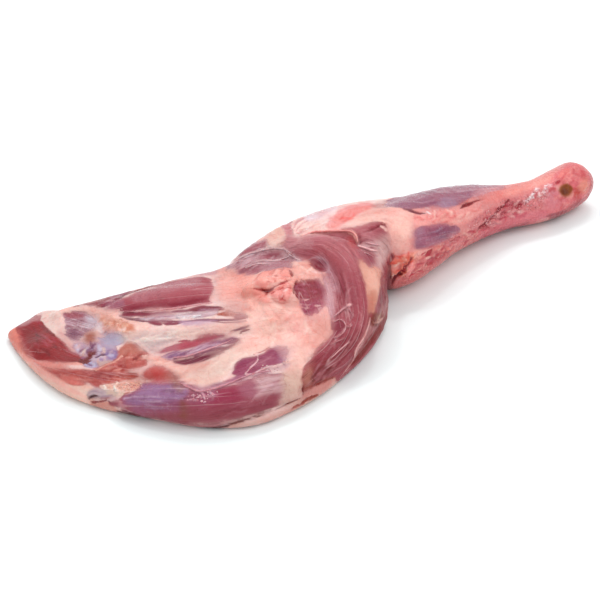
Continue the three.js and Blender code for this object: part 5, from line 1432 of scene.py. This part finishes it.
# Muscle: darker and paler fibres, white threads of tissue across and along
# them, and a pale film that lies over some of it.
muscle_shade = streak * 0.7 + (blotch - 0.5) * 0.35 + (wet - 0.5) * 0.2 + (speck - 0.5) * 0.12
dark_muscle = nodes.mix(nodes.between(muscle_shade, -0.34, 0.0, 0.85, 0), muscle_tint,
                        (0.50, 0.32, 0.35, 1), "MULTIPLY")
lit_muscle = nodes.mix(nodes.between(muscle_shade, 0.0, 0.36, 0, 0.9), dark_muscle,
                       (1.35, 1.75, 1.75, 1), "MULTIPLY")
film = nodes.between(veil + streak * 1.4 + (blotch - 0.5) * 0.8, 0.2, 1.2, 0, 0.75)
filmed = nodes.mix(film * veil, lit_muscle, (0.68, 0.52, 0.56, 1))
thread_run = nodes.noise(nodes.scaled(run, (1 / THREAD_WIDTH, 1 / THREAD_LENGTH, 0)), 1, 1, 0.5)
web = nodes.noise(place, 55, 4, 0.6)
thread = nodes.between(abs(thread_run - 0.5), 0.0, 0.022, 1, 0) * nodes.between(cloud, 0.42, 0.58) * (
    nodes.between(fibre, 0.1, 0.5)) + (
    nodes.between(abs(web - 0.5), 0.0, 0.009, 0.5, 0) * nodes.between(blotch, 0.46, 0.62))
threaded = nodes.mix(nodes.between(thread, 0, 1, 0, 0.3), filmed, (0.80, 0.50, 0.51, 1))

# Fat: pinker clouds, small lobes with redder seams, and fine veins.
lobe = nodes.add("ShaderNodeTexVoronoi", {"feature": "DISTANCE_TO_EDGE"},
                 {"Vector": place, "Scale": 170}, "Distance")
pink_fat = nodes.mix(nodes.between(cloud + (blotch - 0.5), 0.45, 0.78, 0, 0.5), fat_tint,
                     (0.95, 0.66, 0.62, 1), "MULTIPLY")
blushed_fat = nodes.mix(nodes.between(blush, 0.56, 0.74, 0, 0.5), pink_fat,
                        (0.92, 0.52, 0.50, 1), "MULTIPLY")
seamed_fat = nodes.mix(nodes.between(lobe, 0.0, 0.14, 0.15, 0) * nodes.between(blotch, 0.4, 0.6),
                       blushed_fat, (0.86, 0.52, 0.48, 1), "MULTIPLY")
vein = nodes.noise(place, 48, 5, 0.62)
veined_fat = nodes.mix(nodes.between(abs(vein - 0.5), 0.0, 0.012, 0.16, 0), seamed_fat,
                       (0.80, 0.42, 0.42, 1), "MULTIPLY")
pale_fat = nodes.mix(nodes.between(wet * 0.5 - (cloud - 0.5), 0.15, 0.45, 0, 0.8), veined_fat,
                     (1.12, 1.3, 1.28, 1), "MULTIPLY")

# Wet flesh on the leg: crimson grains between paler ones.
fat_beside = nodes.mix(share * 0.75, pale_fat, muscle_tint)
muscle_beside = nodes.mix((1 - share) * 0.65, threaded, fat_tint)
granule = nodes.add("ShaderNodeTexVoronoi", {"feature": "F1"}, {"Vector": place, "Scale": 520},
                    "Distance")
tint_of_all = nodes.mix(bare, fat_beside, muscle_beside)
grained = nodes.mix(nodes.between(granule, 0.2, 0.8) * grain * 0.6, tint_of_all,
                    (0.42, 0.05, 0.08, 1))
roughness = 0.46 - gloss * 0.26 + (wet - 0.5) * 0.45
height = ((coarse_fibre - 0.5) * 0.8 + (fine_fibre - 0.5) * 0.4) * fibre * bare + (
    speck - 0.5) * 0.25 + (wet - 0.5) * 0.6 + (0.5 - granule) * grain * 1.2 + (
    nodes.between(lobe, 0.0, 0.2) * (1 - bare) * 0.2) + thread * 0.3 - bare * 0.4
nodes.wet_flesh(grained, roughness, nodes.bump(0.7, 0.0008, height), 0.28, 0.2, 0.0012,
                (1.0, 0.35, 0.25), **{"Specular Tint": (1.0, 0.86, 0.84, 1)})
meat_mesh.materials.append(meat)
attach(shoulder, "root")
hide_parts("lamb_shoulder")


# Sinew: strands of wet white tissue that lie over the muscle, each a thin
# thread that follows the surface and tapers into it at both ends.
def geometry_tree(name, sizes):
    """A tree of geometry nodes, with an input for each named size."""
    tree = bpy.data.node_groups.new(name, "GeometryNodeTree")
    tree.interface.new_socket("Geometry", in_out="OUTPUT", socket_type="NodeSocketGeometry")
    tree.interface.new_socket("Geometry", in_out="INPUT", socket_type="NodeSocketGeometry")
    for size, value in sizes.items():
        kind = "NodeSocketInt" if isinstance(value, int) else "NodeSocketFloat"
        tree.interface.new_socket(size, in_out="INPUT", socket_type=kind)
    nodes = Nodes(tree)
    given = tree.nodes.new("NodeGroupInput")
    return nodes, {socket.name: Wire(nodes, socket) for socket in given.outputs if socket.name}


def grow(name, seed_mesh, nodes, sizes, grown, paint):
    """A piece whose plain mesh is what the tree makes from the seed mesh."""
    smooth = nodes.add("GeometryNodeSetShadeSmooth", {}, {"Geometry": grown})
    realized = nodes.add("GeometryNodeRealizeInstances", {}, {"Geometry": smooth})
    painted = nodes.add("GeometryNodeSetMaterial", {}, {"Geometry": realized, "Material": paint})
    nodes.add("NodeGroupOutput", {}, {"Geometry": painted})
    piece = bpy.data.objects.new(name, seed_mesh)
    bpy.context.collection.objects.link(piece)
    modifier = piece.modifiers.new(name, "NODES")
    modifier.node_group = nodes.tree
    for socket in nodes.tree.interface.items_tree:
        if socket.name in sizes:
            modifier[socket.identifier] = sizes[socket.name]
    graph = bpy.context.evaluated_depsgraph_get()
    plain = bpy.data.meshes.new_from_object(piece.evaluated_get(graph),
                                            preserve_all_data_layers=True, depsgraph=graph)
    piece.modifiers.remove(modifier)
    piece.data = plain
    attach(piece, "root")
    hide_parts("lamb_shoulder")


SINEW_MARKS = [BLADE["belly_strand"], BLADE["spindle_strand"], BLADE["far_line"], BAND["rim_line"],
               BAND["low_strand"], *BLADE["patch_forks"], *BAND["window_strands"],
               *BAND["silver_strands"], *BAND["outer_lines"], *JOINT_FAT["neck_strands"]]
SINEW_SIZES = {"Strand Radius": 0.00026, "Point Spacing": 0.0012, "Wander": 0.0012,
               "Sides": 6, "Seed": 3}
SINEW_LIFT = 0.0001
SINEW_STEPS = 5

bpy.context.view_layer.update()
skin_tree = BVHTree.FromObject(shoulder, bpy.context.evaluated_depsgraph_get())
strand_points = []
strand_edges = []
strand_widths = []
strand_tints = []
for mark in SINEW_MARKS:
    hits = [skin_tree.ray_cast(Vector(camera_place * MM), Vector(photo_ray(pixel)))
            for pixel in smooth_curve(mark.path, SINEW_STEPS)]
    landed = [place + normal * SINEW_LIFT for place, normal, _, _ in hits if place]
    first = len(strand_points)
    strand_points += landed
    strand_edges += [(i, i + 1) for i in range(first, first + len(landed) - 1)]
    strand_widths += [mark.width] * len(landed)
    strand_tints += [[*tint(mark.colour), 1]] * len(landed)
strand_mesh = bpy.data.meshes.new("sinew_courses")
strand_mesh.from_pydata(strand_points, strand_edges, [])
strand_mesh.attributes.new("strand_width", "FLOAT", "POINT").data.foreach_set("value", strand_widths)
strand_mesh.attributes.new("strand_tint", "FLOAT_COLOR", "POINT").data.foreach_set(
    "color", np.ravel(strand_tints))

nodes, given = geometry_tree("sinew_strands", SINEW_SIZES)
course = nodes.add("GeometryNodeMeshToCurve", {}, {"Mesh": given["Geometry"]})
course = nodes.add("GeometryNodeResampleCurve", {"mode": "LENGTH"},
                   {"Curve": course, "Length": given["Point Spacing"]})
wander = nodes.add("ShaderNodeTexNoise", {"noise_dimensions": "4D"},
                   {"W": given["Seed"], "Scale": 160, "Detail": 2}, "Color")
wander = nodes.add("ShaderNodeVectorMath", {"operation": "SUBTRACT"}, {0: wander, 1: (0.5, 0.5, 0.5)})
wander = nodes.add("ShaderNodeVectorMath", {"operation": "SCALE"},
                   {0: wander, "Scale": given["Wander"]})
course = nodes.add("GeometryNodeSetPosition", {}, {"Geometry": course, "Offset": wander})
along = nodes.add("GeometryNodeSplineParameter", output="Factor")
width = nodes.add("GeometryNodeInputNamedAttribute", {"data_type": "FLOAT"},
                  {"Name": "strand_width"}, "Attribute")
lumpy = nodes.add("ShaderNodeTexNoise", {}, {"Scale": 420, "Detail": 1}, "Fac")
taper = nodes.add("ShaderNodeMath", {"operation": "POWER"}, {0: along * (1 - along) * 4, 1: 0.5})
profile = nodes.add("GeometryNodeCurvePrimitiveCircle", {},
                    {"Resolution": given["Sides"], "Radius": given["Strand Radius"]}, "Curve")
strands = nodes.add("GeometryNodeCurveToMesh", {}, {
    "Curve": course, "Profile Curve": profile, "Scale": taper * width * (lumpy + 0.5),
    "Fill Caps": True})

sinew, paints = material("wet_sinew")
place = paints.add("ShaderNodeTexCoord", output="Object")
pinker = paints.noise(place, 240, 3, 0.6)
sinew_tint = paints.mix(paints.between(pinker, 0.35, 0.65, 0.15, 0.9), paints.kept("strand_tint"),
                        (0.75, 0.55, 0.58, 1), "MULTIPLY")
sinew_bump = paints.bump(0.5, 0.0003, paints.noise(place, 1400, 2))
paints.wet_flesh(sinew_tint, 0.3 + (pinker - 0.5) * 0.3, sinew_bump, 0.35, 0.3, 0.0008,
                 (1.0, 0.4, 0.3))
grow("lamb_shoulder_sinew", strand_mesh, nodes, SINEW_SIZES, strands, sinew)


# Wet grains: small soft beads of torn flesh and fat on the shank, the near leg
# and the wet fat by the blade's edge, scattered where the skin is marked so.
GRAIN_SIZES = {"Grains To Area": 620000.0, "Grain Radius": 0.00056, "Smallest": 0.45,
               "Largest": 1.5, "Flatness": 0.42, "Seed": 11}
nodes, given = geometry_tree("wet_grains", GRAIN_SIZES)
layers = nodes.add("GeometryNodeInputNamedAttribute", {"data_type": "FLOAT_VECTOR"},
                   {"Name": "layers"}, "Attribute")
beads = nodes.add("ShaderNodeSeparateXYZ", {}, {0: layers}, "Z")
clump = nodes.add("ShaderNodeTexNoise", {}, {"Scale": 190, "Detail": 2}, "Fac")
density = given["Grains To Area"] * nodes.between(beads * clump, 0.2, 0.62)
scatter = nodes.add("GeometryNodeDistributePointsOnFaces", {}, {
    "Mesh": given["Geometry"], "Density": density, "Seed": given["Seed"]}, "Points")
turn = Wire(nodes, scatter.socket.node.outputs["Rotation"])
tone = nodes.random(0.0, 1.0, given["Seed"] + 1)
scatter = nodes.add("GeometryNodeStoreNamedAttribute", {"data_type": "FLOAT", "domain": "POINT"},
                    {"Geometry": scatter, "Name": "grain_tone", "Value": tone})
bead = nodes.add("GeometryNodeMeshIcoSphere", {}, {"Radius": given["Grain Radius"],
                                                   "Subdivisions": 1}, "Mesh")
size = nodes.random(given["Smallest"], given["Largest"], given["Seed"] + 2)
stretch = nodes.random(0.7, 1.5, given["Seed"] + 3)
shape = nodes.add("ShaderNodeCombineXYZ", {}, {0: size * stretch, 1: size,
                                              2: size * given["Flatness"]})
grains = nodes.add("GeometryNodeInstanceOnPoints", {}, {
    "Points": scatter, "Instance": bead, "Rotation": turn, "Scale": shape})

wet_grain, paints = material("wet_grain")
place = paints.add("ShaderNodeTexCoord", output="Object")
under = paints.kept("fat_tint")
tone = paints.kept("grain_tone", "Fac")
red_grain = paints.mix(paints.between(tone, 0.0, 0.3, 0.6, 0), under, (0.50, 0.07, 0.10, 1))
grain_tint = paints.mix(paints.between(tone, 0.7, 1.0, 0, 0.5), red_grain, (0.88, 0.52, 0.52, 1))
grain_bump = paints.bump(0.4, 0.0003, paints.noise(place, 900, 2))
paints.wet_flesh(grain_tint, 0.3 - tone * 0.15, grain_bump, 0.45, 0.3, 0.0008, (1.0, 0.35, 0.25))
grow("lamb_shoulder_wet_grains", meat_mesh, nodes, GRAIN_SIZES, grains, wet_grain)


# The table: a plain white floor under soft studio light, most of it from
# behind and the right, which leaves a thin grey shadow at the tip and near edge.
FLOOR_HALF = 3
FLOOR_DROP = -0.0002
floor_mesh = bpy.data.meshes.new("floor")
floor_mesh.from_pydata([(x * FLOOR_HALF, y * FLOOR_HALF, FLOOR_DROP)
                        for x, y in ((-1, -1), (1, -1), (1, 1), (-1, 1))], [], [(0, 1, 2, 3)])
floor = bpy.data.objects.new("floor", floor_mesh)
bpy.context.collection.objects.link(floor)
floor_paint, floor_nodes = material("floor")
paint = floor_nodes.add("ShaderNodeBsdfDiffuse", {}, {"Color": (0.88, 0.945, 0.95, 1)}, "BSDF")
floor_nodes.add("ShaderNodeOutputMaterial", {}, {"Surface": paint})
floor_mesh.materials.append(floor_paint)

WORLD_STRENGTH = 0.85
world = bpy.data.worlds.new("studio")
bpy.context.scene.world = world
world.use_nodes = True
world.node_tree.nodes["Background"].inputs["Color"].default_value = (1, 1, 1, 1)
world.node_tree.nodes["Background"].inputs["Strength"].default_value = WORLD_STRENGTH

# Each softbox: where it hangs, its side and its power.
SOFTBOXES = {
    "behind": ((0.6, 1.3, 2.0), 1.6, 13),
    "front": ((1.0, -0.7, 1.9), 1.4, 11),
    "left_glint": ((-0.45, 0.9, 2.0), 0.2, 4),
    "right_glint": ((0.75, 0.9, 1.8), 0.2, 4),
}
for name, (spot, side, power) in SOFTBOXES.items():
    light_data = bpy.data.lights.new(name, "AREA")
    light_data.size = side
    light_data.energy = power
    light = bpy.data.objects.new(name, light_data)
    light.location = spot
    light.rotation_euler = (-Vector(spot)).to_track_quat("-Z", "Y").to_euler()
    bpy.context.collection.objects.link(light)

bpy.context.scene.view_settings.view_transform = "Standard"
